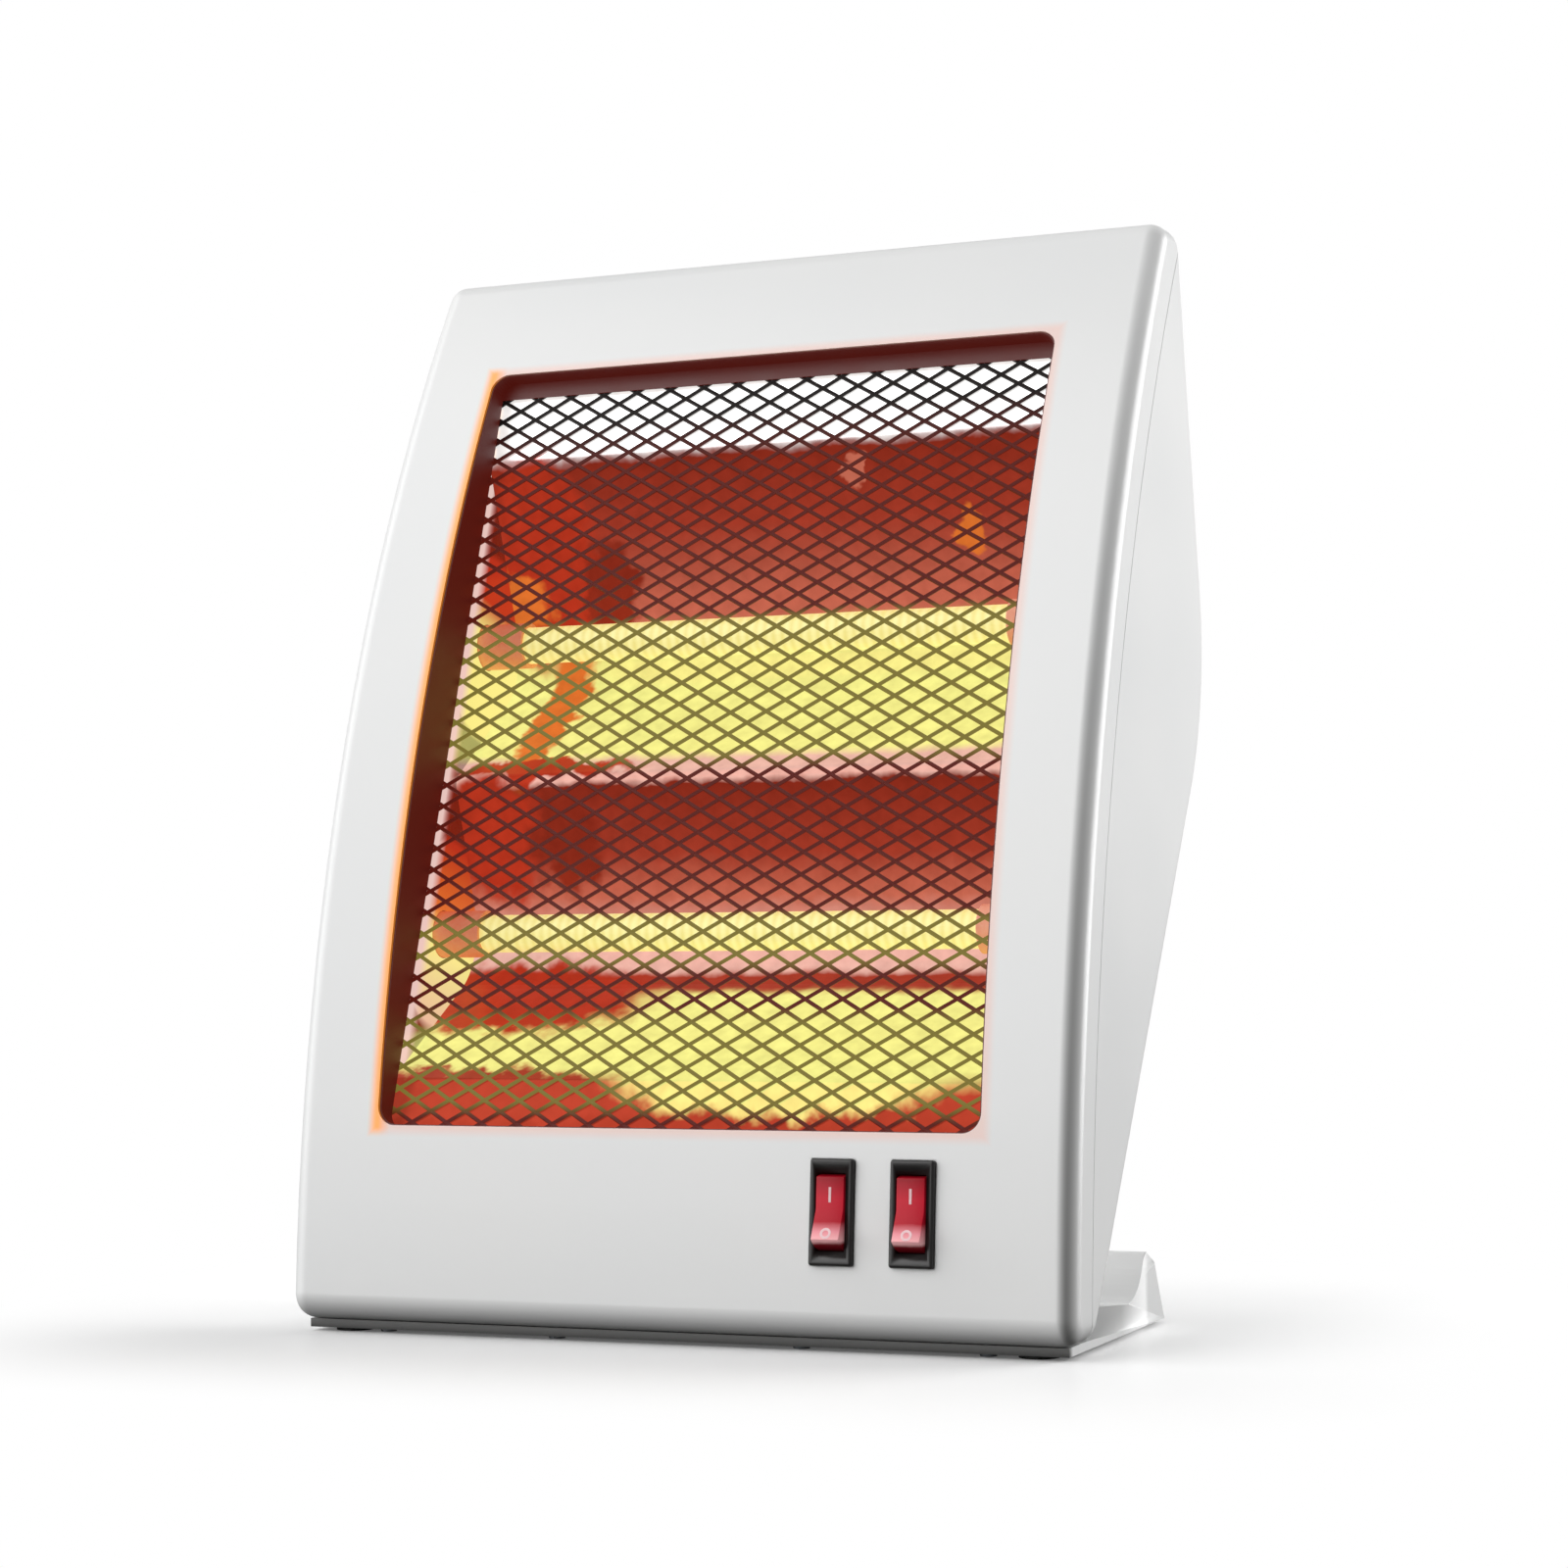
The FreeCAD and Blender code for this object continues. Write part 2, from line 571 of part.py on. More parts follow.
def make_end_plate(side):
    """Sheet plate that closes the troughs at one end, carries the element caps and has two screw tabs."""
    inner = reflector_width / 2
    low = guard_back - trough_depth - END_PLATE_OVERHANG
    outline = [(end_plate_top, guard_back), (end_plate_top - END_PLATE_CORNER, low + END_PLATE_CORNER),
               (tube_upper + END_PLATE_CORNER, low), (tube_lower - END_PLATE_CORNER, low),
               (end_plate_bottom + END_PLATE_CORNER, low + END_PLATE_CORNER), (end_plate_bottom, guard_back)]
    corners = [Vector(inner, up, level) for up, level in outline]
    plate = Part.Face(Part.makePolygon(corners + corners[:1])).extrude(Vector(SHEET, 0, 0))
    pieces = [plate]
    for up in tab_places:
        pieces.append(box(inner, inner + SHEET + TAB_LENGTH, up - TAB_HEIGHT / 2, up + TAB_HEIGHT / 2,
                          guard_back - SHEET, guard_back))
    plate = fuse_all(pieces)
    holes = [cylinder(CAP_RADIUS + FIT_GAP, Vector(0, up, tube_level), AXIS_X, BODY_WIDTH)
             for up in (tube_upper, tube_lower)]
    for up in tab_places:
        start = Vector(tab_screw_x, up, guard_back - OVERRUN)
        holes.append(cylinder(POST_HOLE_RADIUS, start, AXIS_Z, 2 * OVERRUN))
    plate = cut_all(plate, holes)
    if side < 0:
        plate = plate.mirror(Vector(0, 0, 0), AXIS_X)
    return placed(plate, opening_frame)


def make_reflector_screws():
    screws = []
    for x, up in tab_posts:
        under = guard_back - SHEET
        shank = along_normal(SCREW_RADIUS - FIT_GAP / 4, x, up, under, guard_back + SCREW_BITE - FIT_GAP)
        head = along_normal(SCREW_HEAD_RADIUS, x, up, under - SCREW_HEAD_HEIGHT, under)
        screws.append(fuse_all([shank, head]))
    return Part.Compound(screws)


def across(radius, up, x0, x1):
    """Round bar along X at the elements' level, at a height up the opening."""
    return placed(cylinder(radius, Vector(x0, up, tube_level), AXIS_X, x1 - x0), opening_frame)


def make_quartz_tube(up):
    outer = across(TUBE_RADIUS, up, -tube_half_length, tube_half_length)
    bore_end = tube_half_length + OVERRUN
    return outer.cut(across(TUBE_RADIUS - TUBE_WALL, up, -bore_end, bore_end))


def make_heating_coil(up):
    """Resistance winding inside the milky tube, as the sleeve that its turns fill."""
    length = cap_outer_end - TERMINAL_SUNK
    outer = across(COIL_RADIUS + COIL_WIRE_RADIUS, up, -tube_half_length, tube_half_length)
    core = across(COIL_RADIUS - COIL_WIRE_RADIUS, up, -tube_half_length - OVERRUN, tube_half_length + OVERRUN)
    tails = [across(COIL_WIRE_RADIUS, up, -length, length)]
    ends = []
    for side in (-1, 1):
        middle = side * tube_half_length
        ends.append(across(COIL_RADIUS, up, middle - COIL_WIRE_RADIUS, middle + COIL_WIRE_RADIUS))
    return fuse_all([outer.cut(core)] + tails + ends)


def make_ceramic_cap(up, side):
    """Stepped ceramic end cap: a socket for the tube and a small hole for the terminal stud."""
    cap = across(CAP_RADIUS, up, cap_inner_end, cap_outer_end)
    socket = across(TUBE_RADIUS + FIT_GAP / 2, up, cap_inner_end - OVERRUN, tube_half_length + FIT_GAP)
    room = across(COIL_RADIUS + FIT_GAP, up, cap_inner_end, tube_half_length + COIL_WIRE_RADIUS + FIT_GAP)
    hole = across(TERMINAL_RADIUS, up, cap_inner_end, cap_outer_end + OVERRUN)
    cap = cut_all(cap, [socket, room, hole])
    return cap if side > 0 else cap.mirror(Vector(0, 0, 0), AXIS_X)


def make_tube_terminals():
    """Threaded studs in the caps' outer ends, each with a nut."""
    studs = []
    for up in (tube_upper, tube_lower):
        start = cap_outer_end - TERMINAL_SUNK
        stud = across(TERMINAL_RADIUS, up, start, start + TERMINAL_LENGTH)
        nut = nut_prism(NUT_RADIUS, NUT_HEIGHT)
        nut_place = Placement(Vector(cap_outer_end, up, tube_level), Rotation(AXIS_Y, 90))
        nut = placed(nut, opening_frame.multiply(nut_place))
        piece = fuse_all([stud, nut])
        studs += [piece, piece.mirror(Vector(0, 0, 0), AXIS_X)]
    return Part.Compound(studs)


def nut_prism(radius, height):
    corners = [Vector(radius * math.cos(math.radians(60 * k)), radius * math.sin(math.radians(60 * k)), 0)
               for k in range(6)]
    return Part.Face(Part.makePolygon(corners + corners[:1])).extrude(Vector(0, 0, height))


def make_cap_retainers():
    """Spring collars pushed onto the caps outside the end plates."""
    rings = []
    start = reflector_width / 2 + SHEET
    for up in (tube_upper, tube_lower):
        ring = across(RETAINER_RADIUS, up, start, start + RETAINER_THICKNESS)
        ring = ring.cut(across(CAP_RADIUS + FIT_GAP / 4, up, start - OVERRUN, start + OVERRUN))
        rings += [ring, ring.mirror(Vector(0, 0, 0), AXIS_X)]
    return Part.Compound(rings)


def make_thermal_cutout():
    """Disc thermostat against the back of the reflector's upper lip, with two blades."""
    level = guard_back - SHEET
    middle_x = reflector_width / 2 - CUTOUT_INSET
    middle_up = (reflector_edge + trough_top) / 2
    body_low = level - CUTOUT_HEIGHT
    can_low = body_low - CUTOUT_CAN_HEIGHT
    pieces = [cylinder(CUTOUT_RADIUS, Vector(middle_x, middle_up, body_low), AXIS_Z, CUTOUT_HEIGHT),
              cylinder(CUTOUT_CAN_RADIUS, Vector(middle_x, middle_up, can_low), AXIS_Z, CUTOUT_CAN_HEIGHT)]
    for side in (-1, 1):
        x = middle_x + side * CUTOUT_BLADE_SPACING / 2
        low = can_low - CUTOUT_BLADE_LENGTH
        pieces.append(box(x - CUTOUT_BLADE_THICKNESS / 2, x + CUTOUT_BLADE_THICKNESS / 2,
                          middle_up - CUTOUT_BLADE_WIDTH / 2, middle_up + CUTOUT_BLADE_WIDTH / 2,
                          low, low + CUTOUT_BLADE_LENGTH))
    return placed(fuse_all(pieces), opening_frame)


def in_switch(shape, side):
    return placed(shape, switch_frame.multiply(Placement(Vector(switch_places[side], 0, 0), Rotation())))


def make_switch_body(side):
    """Black snap-in housing: bezel, deep box, rocker well and two pivot sockets."""
    bezel = box(-BEZEL_WIDTH / 2, BEZEL_WIDTH / 2, -BEZEL_LENGTH / 2, BEZEL_LENGTH / 2, 0, BEZEL_THICKNESS)
    soft = [edge for edge in bezel.Edges if edge.CenterOfMass.z > FIT_GAP]
    bezel = bezel.makeFillet(BEZEL_CORNER_RADIUS, soft)
    housing = box(-SWITCH_BODY_WIDTH / 2, SWITCH_BODY_WIDTH / 2,
                  -SWITCH_BODY_LENGTH / 2, SWITCH_BODY_LENGTH / 2, -SWITCH_BODY_DEPTH, 0)
    well_half_width = ROCKER_WIDTH / 2 + ROCKER_GAP
    well_half_length = ROCKER_RADIUS + ROCKER_GAP
    well = box(-well_half_width, well_half_width, -well_half_length, well_half_length,
               -SWITCH_CAVITY_DEPTH, BEZEL_THICKNESS + OVERRUN)
    reach = ROCKER_WIDTH / 2 + PIVOT_LENGTH + FIT_GAP
    sockets = cylinder(PIVOT_RADIUS + PIVOT_GAP, Vector(-reach, 0, -ROCKER_PIVOT_DEPTH), AXIS_X, 2 * reach)
    return in_switch(cut_all(fuse_all([bezel, housing]), [well, sockets]), side)


def make_rocker(side):
    """Red rocker with a dished top, turned to its on position: the upper end is pressed in."""
    half = ROCKER_WIDTH / 2
    drum = cylinder(ROCKER_RADIUS, Vector(-half, 0, 0), AXIS_X, ROCKER_WIDTH)
    crown = [Vector(-half, y, z) for y, z in ((-ROCKER_RADIUS, -ROCKER_SKIRT), (ROCKER_RADIUS, -ROCKER_SKIRT),
                                              (ROCKER_RADIUS, ROCKER_END_RISE), (0, ROCKER_MIDDLE_RISE),
                                              (-ROCKER_RADIUS, ROCKER_END_RISE))]
    prism = Part.Face(Part.makePolygon(crown + crown[:1])).extrude(Vector(ROCKER_WIDTH, 0, 0))
    pins = cylinder(PIVOT_RADIUS, Vector(-half - PIVOT_LENGTH, 0, 0), AXIS_X, ROCKER_WIDTH + 2 * PIVOT_LENGTH)
    rocker = fuse_all([drum.common(prism), pins])
    tilt = Placement(Vector(0, 0, -ROCKER_PIVOT_DEPTH), Rotation(AXIS_X, -ROCKER_THROW))
    return in_switch(placed(rocker, tilt), side)


def make_switch_terminals(side):
    """Three brass blades out of the back of a switch."""
    blades = []
    for k in (-1, 0, 1):
        y = k * BLADE_PITCH
        blade = box(-BLADE_WIDTH / 2, BLADE_WIDTH / 2, y - BLADE_THICKNESS / 2, y + BLADE_THICKNESS / 2,
                    -SWITCH_BODY_DEPTH - BLADE_LENGTH, -SWITCH_BODY_DEPTH)
        eye = cylinder(BLADE_HOLE_RADIUS, Vector(0, y - OVERRUN, -SWITCH_BODY_DEPTH - BLADE_LENGTH * 2 / 3),
                       AXIS_Y, 2 * OVERRUN)
        blades.append(in_switch(blade.cut(eye), side))
    return Part.Compound(blades)


def seat_at(height):
    """Place of the stand's slope behind the body's lower back, at a height."""
    return rear_lower_at(height).y + BODY_SEAT_GAP


def straight_edges(points):
    """Edges that join (y, z) pairs in the plane X = 0."""
    corners = [Vector(0, y, z) for y, z in points]
    return [Part.LineSegment(start, end).toShape() for start, end in zip(corners, corners[1:])]


def stand_outside():
    """The stand without its hollow: a thin sole under the body, a tray and a heel that sweeps up."""
    floor = STAND_FOOT_GAP
    sole = BODY_GROUND_GAP - BODY_SEAT_GAP
    heel_y = STAND_DEPTH - HEEL_SETBACK
    peak_y = STAND_DEPTH - HEEL_PEAK_SETBACK
    lift = HEEL_PEAK_HEIGHT - STAND_TOP_REAR
    sweep_radius = ((peak_y - heel_y) ** 2 + lift ** 2) / (2 * lift)
    half_way = (math.asin(lift / sweep_radius - 1) - math.pi / 2) / 2
    sweep_middle = Vector(0, heel_y + sweep_radius * math.cos(half_way),
                          STAND_TOP_REAR + sweep_radius * (1 + math.sin(half_way)))
    front = [(STAND_FRONT, floor), (STAND_FRONT, sole), (seat_at(sole), sole),
             (seat_at(STAND_TOP_FRONT), STAND_TOP_FRONT), (heel_y, STAND_TOP_REAR)]
    back = [(peak_y, HEEL_PEAK_HEIGHT), (STAND_DEPTH - HEEL_SHOULDER_SETBACK, HEEL_SHOULDER_HEIGHT),
            (STAND_DEPTH, floor), (STAND_FRONT, floor)]
    sweep = Part.Arc(Vector(0, *front[-1]), sweep_middle, Vector(0, *back[0])).toShape()
    face = Part.Face(Part.Wire(straight_edges(front) + [sweep] + straight_edges(back)))
    face.translate(Vector(-stand_width / 2, 0, 0))
    return face.extrude(Vector(stand_width, 0, 0))


def stand_hollow():
    """Space inside the tray and the heel, open below."""
    low = STAND_FOOT_GAP - OVERRUN
    front = plate_front - PLATE_GAP
    rear = plate_rear + PLATE_GAP
    peak_y = STAND_DEPTH - HEEL_PEAK_SETBACK
    outline = [(front, low), (front, STAND_TOP_FRONT - STAND_WALL),
               (peak_y - STAND_WALL, STAND_TOP_REAR - STAND_WALL),
               (peak_y + STAND_WALL / 2, HEEL_PEAK_HEIGHT - 2 * STAND_WALL),
               (STAND_DEPTH - HEEL_SHOULDER_SETBACK - STAND_WALL, HEEL_SHOULDER_HEIGHT - STAND_WALL),
               (rear, STAND_TOP_REAR / 2), (rear, low), (front, low)]
    face = Part.Face(Part.Wire(straight_edges(outline)))
    half = stand_width / 2 - STAND_WALL
    face.translate(Vector(-half, 0, 0))
    return face.extrude(Vector(2 * half, 0, 0))


def make_stand():
    """Moulded stand: a thin front sole under the body and a hollow tray that rises to a heel."""
    solid = stand_outside()
    heel = [edge for edge in solid.Edges
            if abs(edge.Vertexes[0].X - edge.Vertexes[-1].X) > stand_width / 2
            and edge.CenterOfMass.z > (HEEL_SHOULDER_HEIGHT + STAND_TOP_FRONT) / 2]
    solid = solid.makeFillet(STAND_WALL, heel)
    solid = solid.cut(stand_hollow())
    post_height = STAND_TOP_REAR - FIT_GAP - tip_floor
    posts = [cylinder(PLATE_POST_RADIUS, Vector(x, y, tip_floor), AXIS_Z, post_height)
             for x, y in plate_screws]
    solid = fuse_all([solid] + posts)
    hole_height = STAND_TOP_REAR - STAND_WALL
    holes = [cylinder(SCREW_RADIUS, Vector(x, y, 0), AXIS_Z, hole_height) for x, y in plate_screws]
    for x in stand_screws:
        holes.append(cylinder(POST_HOLE_RADIUS, Vector(x, STAND_SCREW_Y, -OVERRUN), AXIS_Z, 2 * OVERRUN))
        holes.append(cylinder(COVER_WELL_RADIUS, Vector(x, STAND_SCREW_Y, -OVERRUN), AXIS_Z,
                              OVERRUN + STAND_FOOT_GAP + SCREW_HEAD_HEIGHT / 2))
    for side in (-1, 1):
        start = Vector(side * foot_x, foot_front_y, 0)
        holes.append(cylinder(FOOT_RADIUS + FIT_GAP, start, AXIS_Z, FOOT_HEIGHT))
    return cut_all(solid, holes)


def make_stand_screws():
    """Four screws up through the sole into the front cover."""
    screws = []
    for x in stand_screws:
        seat = STAND_FOOT_GAP + SCREW_HEAD_HEIGHT / 2
        shank = cylinder(SCREW_RADIUS - FIT_GAP / 4, Vector(x, STAND_SCREW_Y, seat), AXIS_Z,
                         BODY_GROUND_GAP + SCREW_BITE - FIT_GAP - seat)
        head_low = STAND_FOOT_GAP / 4
        head = cylinder(SCREW_HEAD_RADIUS, Vector(x, STAND_SCREW_Y, head_low), AXIS_Z, seat - head_low)
        screws.append(fuse_all([shank, head]))
    return Part.Compound(screws)


def make_sole_plate():
    """Steel plate that closes the stand's tray and weights it."""
    half = stand_width / 2 - STAND_WALL - PLATE_GAP
    plate = box(-half, half, plate_front, plate_rear, STAND_FOOT_GAP, tip_floor)
    holes = [cylinder(POST_HOLE_RADIUS, Vector(x, y, 0), AXIS_Z, 2 * OVERRUN) for x, y in plate_screws]
    holes.append(cylinder(PLUNGER_RADIUS + PLUNGER_GAP, Vector(0, tip_y, 0), AXIS_Z, 2 * OVERRUN))
    return cut_all(plate, holes)


def make_sole_plate_screws():
    screws = []
    for x, y in plate_screws:
        low = STAND_FOOT_GAP
        head = cylinder(SCREW_HEAD_RADIUS, Vector(x, y, low - low * 3 / 4), AXIS_Z, low * 3 / 4)
        length = STAND_TOP_REAR - STAND_WALL - low - FIT_GAP
        shank = cylinder(SCREW_RADIUS - FIT_GAP / 4, Vector(x, y, low), AXIS_Z, length)
        screws.append(fuse_all([head, shank]))
    return Part.Compound(screws)


def make_feet():
    """Four round rubber pads: two let into the front sole, two on the steel plate."""
    feet = []
    for side in (-1, 1):
        feet.append(cylinder(FOOT_RADIUS, Vector(side * foot_x, foot_front_y, 0), AXIS_Z, FOOT_HEIGHT))
        feet.append(cylinder(FOOT_RADIUS, Vector(side * foot_x, foot_rear_y, 0), AXIS_Z, STAND_FOOT_GAP))
    return Part.Compound(feet)


def make_tip_switch_body():
    """Tip-over switch housing on the sole plate, bored for the plunger and its spring."""
    body = box(-TIP_BODY_LENGTH / 2, TIP_BODY_LENGTH / 2, tip_y - TIP_BODY_WIDTH / 2,
               tip_y + TIP_BODY_WIDTH / 2, tip_floor, tip_floor + TIP_BODY_HEIGHT)
    start = Vector(0, tip_y, tip_floor - OVERRUN)
    return body.cut(cylinder(TIP_CAVITY_RADIUS, start, AXIS_Z, OVERRUN + TIP_CAVITY_HEIGHT))


def make_tip_plunger():
    """Plunger that the floor holds up; it drops when the heater is lifted or falls over."""
    flange_low = tip_floor + PLUNGER_TRAVEL + FIT_GAP
    rod = cylinder(PLUNGER_RADIUS, Vector(0, tip_y, 0), AXIS_Z, flange_low + PLUNGER_FLANGE_HEIGHT)
    rim = [edge for edge in rod.Edges if edge.CenterOfMass.z < FIT_GAP and len(edge.Vertexes) == 1]
    rod = rod.makeFillet(PLUNGER_TIP_RADIUS, rim)
    flange = cylinder(PLUNGER_FLANGE_RADIUS, Vector(0, tip_y, flange_low), AXIS_Z, PLUNGER_FLANGE_HEIGHT)
    return fuse_all([rod, flange])


def make_tip_spring():
    """Small compression spring over the plunger, as the sleeve that its turns fill."""
    low = tip_floor + PLUNGER_TRAVEL + FIT_GAP + PLUNGER_FLANGE_HEIGHT + FIT_GAP / 4
    length = tip_floor + TIP_CAVITY_HEIGHT - FIT_GAP / 4 - low
    start = Vector(0, tip_y, low)
    sleeve = cylinder(SPRING_RADIUS + SPRING_WIRE_RADIUS, start, AXIS_Z, length)
    return sleeve.cut(cylinder(SPRING_RADIUS - SPRING_WIRE_RADIUS, start, AXIS_Z, length))


def make_cord_inlet():
    """Bush through the rear cover for the mains cord, with its backing nut."""
    pieces = [cylinder(INLET_FLANGE_RADIUS, Vector(0, 0, 0), AXIS_Z, INLET_FLANGE_THICKNESS),
              cylinder(INLET_BODY_RADIUS, Vector(0, 0, -INLET_TAIL), AXIS_Z, INLET_TAIL)]
    bush = fuse_all(pieces).cut(cylinder(INLET_BORE_RADIUS, Vector(0, 0, -INLET_TAIL), AXIS_Z,
                                         INLET_TAIL + INLET_FLANGE_THICKNESS))
    return placed(bush, inlet_frame())


def make_inlet_nut():
    nut = nut_prism(INLET_NUT_RADIUS, INLET_NUT_THICKNESS)
    hole = cylinder(INLET_BODY_RADIUS + FIT_GAP / 4, Vector(0, 0, -OVERRUN), AXIS_Z, 3 * OVERRUN)
    return placed(nut.cut(hole), inlet_frame(WALL + INLET_NUT_THICKNESS))


def make_terminal_block():
    """Three-way block on the floor of the front cover, with wire holes and screw wells."""
    low = BODY_GROUND_GAP + WALL
    block = box(block_x - BLOCK_LENGTH / 2, block_x + BLOCK_LENGTH / 2, BLOCK_Y - BLOCK_WIDTH / 2,
                BLOCK_Y + BLOCK_WIDTH / 2, low, low + BLOCK_HEIGHT)
    pitch = BLOCK_LENGTH / BLOCK_WAYS
    holes = []
    for way in range(BLOCK_WAYS):
        x = block_x + (way - (BLOCK_WAYS - 1) / 2) * pitch
        wire_level = low + BLOCK_HEIGHT - BLOCK_HOLE_DROP
        start = Vector(x, BLOCK_Y - BLOCK_WIDTH, wire_level)
        holes.append(cylinder(BLOCK_HOLE_RADIUS, start, AXIS_Y, 2 * BLOCK_WIDTH))
        holes.append(cylinder(BLOCK_SCREW_RADIUS, Vector(x, BLOCK_Y, wire_level), AXIS_Z, BLOCK_HEIGHT))
        if way:
            notch_x = x - pitch / 2
            holes.append(box(notch_x - BLOCK_NOTCH / 2, notch_x + BLOCK_NOTCH / 2, BLOCK_Y - BLOCK_WIDTH,
                             BLOCK_Y + BLOCK_WIDTH, wire_level, low + 2 * BLOCK_HEIGHT))
    return cut_all(block, holes)


nodes = {
    "front_cover": make_front_cover(),
    "rear_cover": make_rear_cover(),
    "cover_screws": make_cover_screws(),
    "guard_mesh": make_guard_mesh(),
    "reflector": make_reflector(),
    "reflector_end_left": make_end_plate(-1),
    "reflector_end_right": make_end_plate(1),
    "reflector_screws": make_reflector_screws(),
    "tube_terminals": make_tube_terminals(),
    "cap_retainers": make_cap_retainers(),
    "thermal_cutout": make_thermal_cutout(),
    "stand": make_stand(),
    "stand_screws": make_stand_screws(),
    "sole_plate": make_sole_plate(),
    "sole_plate_screws": make_sole_plate_screws(),
    "rubber_feet": make_feet(),
    "tip_switch_body": make_tip_switch_body(),
    "tip_plunger": make_tip_plunger(),
    "tip_spring": make_tip_spring(),
    "cord_inlet": make_cord_inlet(),
    "inlet_nut": make_inlet_nut(),
    "terminal_block": make_terminal_block(),
}
for level, up in (("upper", tube_upper), ("lower", tube_lower)):
    nodes["quartz_tube_" + level] = make_quartz_tube(up)
    nodes["heating_coil_" + level] = make_heating_coil(up)
    for side, sign in (("left", -1), ("right", 1)):
        nodes["ceramic_cap_" + level + "_" + side] = make_ceramic_cap(up, sign)
for side in switch_places:
    nodes["switch_body_" + side] = make_switch_body(side)
    nodes["rocker_" + side] = make_rocker(side)
    nodes["switch_terminals_" + side] = make_switch_terminals(side)

# The origin is on the floor, midway between the rockers' tips and the crown of the back
front_most = nodes["rocker_left"].optimalBoundingBox().YMin
origin_shift = Vector(0, -(front_most + BODY_DEPTH) / 2, 0)
os.makedirs("parts", exist_ok=True)
for name, shape in nodes.items():
    shape.translate(origin_shift)
    shape.exportStep("parts/" + name + ".step")
    print(name, len(shape.Solids), shape.isValid(), round(shape.Volume, 1))
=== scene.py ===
import math

import bmesh
import bpy
from mathutils import Euler, Matrix, Vector
from mathutils.bvhtree import BVHTree


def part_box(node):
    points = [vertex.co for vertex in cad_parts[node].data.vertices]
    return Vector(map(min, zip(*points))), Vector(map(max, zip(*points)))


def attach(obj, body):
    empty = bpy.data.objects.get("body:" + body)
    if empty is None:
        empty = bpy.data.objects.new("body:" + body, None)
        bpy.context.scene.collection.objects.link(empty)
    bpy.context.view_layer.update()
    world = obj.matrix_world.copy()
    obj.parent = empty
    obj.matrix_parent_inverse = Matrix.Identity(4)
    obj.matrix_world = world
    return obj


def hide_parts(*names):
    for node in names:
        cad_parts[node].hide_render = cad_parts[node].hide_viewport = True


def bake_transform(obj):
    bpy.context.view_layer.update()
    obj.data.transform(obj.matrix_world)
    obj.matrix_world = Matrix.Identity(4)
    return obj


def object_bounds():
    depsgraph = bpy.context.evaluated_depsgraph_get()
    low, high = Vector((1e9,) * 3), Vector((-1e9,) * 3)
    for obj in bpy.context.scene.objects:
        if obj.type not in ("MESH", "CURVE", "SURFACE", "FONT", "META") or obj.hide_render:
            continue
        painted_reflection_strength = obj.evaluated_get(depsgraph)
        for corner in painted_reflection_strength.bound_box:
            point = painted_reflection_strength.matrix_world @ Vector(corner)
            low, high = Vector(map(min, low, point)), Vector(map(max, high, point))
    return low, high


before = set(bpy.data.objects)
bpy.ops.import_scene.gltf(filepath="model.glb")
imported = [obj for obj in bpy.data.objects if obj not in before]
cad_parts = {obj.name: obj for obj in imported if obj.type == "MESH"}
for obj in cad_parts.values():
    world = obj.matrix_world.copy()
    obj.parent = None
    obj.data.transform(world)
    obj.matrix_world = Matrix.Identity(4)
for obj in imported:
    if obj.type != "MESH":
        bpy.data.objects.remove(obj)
cad_low, cad_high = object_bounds()
mm = 0.001


# Stand. A low tray moulded in white ABS, hollow underneath, with a raised heel along its back edge.
# It is screwed to the front cover from below and carries the whole heater.
MERGE_REACH = 0.002 * mm
CREASE = 35.0


def corners(node_name):
    """The low and the high corner of a node's box."""
    return [Vector(corner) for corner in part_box(node_name)]


def linear(hex_colour):
    """An sRGB hex colour as linear RGBA."""
    channels = [int(hex_colour[k:k + 2], 16) / 255 for k in (1, 3, 5)]
    return [c / 12.92 if c <= 0.04045 else ((c + 0.055) / 1.055) ** 2.4 for c in channels] + [1.0]


def connect(tree, node, inputs):
    """Links or sets inputs of a node, from a socket, from another node's first output or from a value."""
    for key, value in inputs.items():
        source = value.outputs[0] if isinstance(value, bpy.types.Node) else value
        if isinstance(source, bpy.types.NodeSocket):
            tree.links.new(source, node.inputs[key])
        else:
            node.inputs[key].default_value = linear(source) if isinstance(source, str) else source


def add(tree, kind, inputs=None, **settings):
    """Adds one node with its settings, or a ramp's stops, and connects its inputs."""
    made = tree.nodes.new(kind)
    for name, value in settings.items():
        if name == "stops":
            elements, first, last = made.color_ramp.elements, value[0], value[-1]
            for at, hex_colour in value[1:-1]:
                elements.new((at - first[0]) / (last[0] - first[0])).color = linear(hex_colour)
            elements[0].color, elements[-1].color = linear(first[1]), linear(last[1])
        else:
            setattr(made, name, value)
    connect(tree, made, inputs or {})
    return made


def finish_named(name):
    """A new material with its tree, its shader and the Object coordinates of the piece."""
    material = bpy.data.materials.new(name)
    material.use_nodes = True
    tree = material.node_tree
    place = add(tree, "ShaderNodeTexCoord").outputs["Object"]
    return material, tree, tree.nodes["Principled BSDF"], place


def surface(tree, shader, pattern, colours, roughness, relief):
    """Lets one pattern shift a shader's colour and roughness and raise its surface."""
    tint = add(tree, "ShaderNodeMix", {0: pattern, 6: colours[0], 7: colours[1]}, data_type="RGBA")
    gloss = add(tree, "ShaderNodeMapRange",
                {"Value": pattern, "To Min": roughness[0], "To Max": roughness[1]})
    bump = add(tree, "ShaderNodeBump", {"Height": pattern, "Distance": relief})
    connect(tree, shader, {"Base Color": tint.outputs[2], "Roughness": gloss, "Normal": bump})


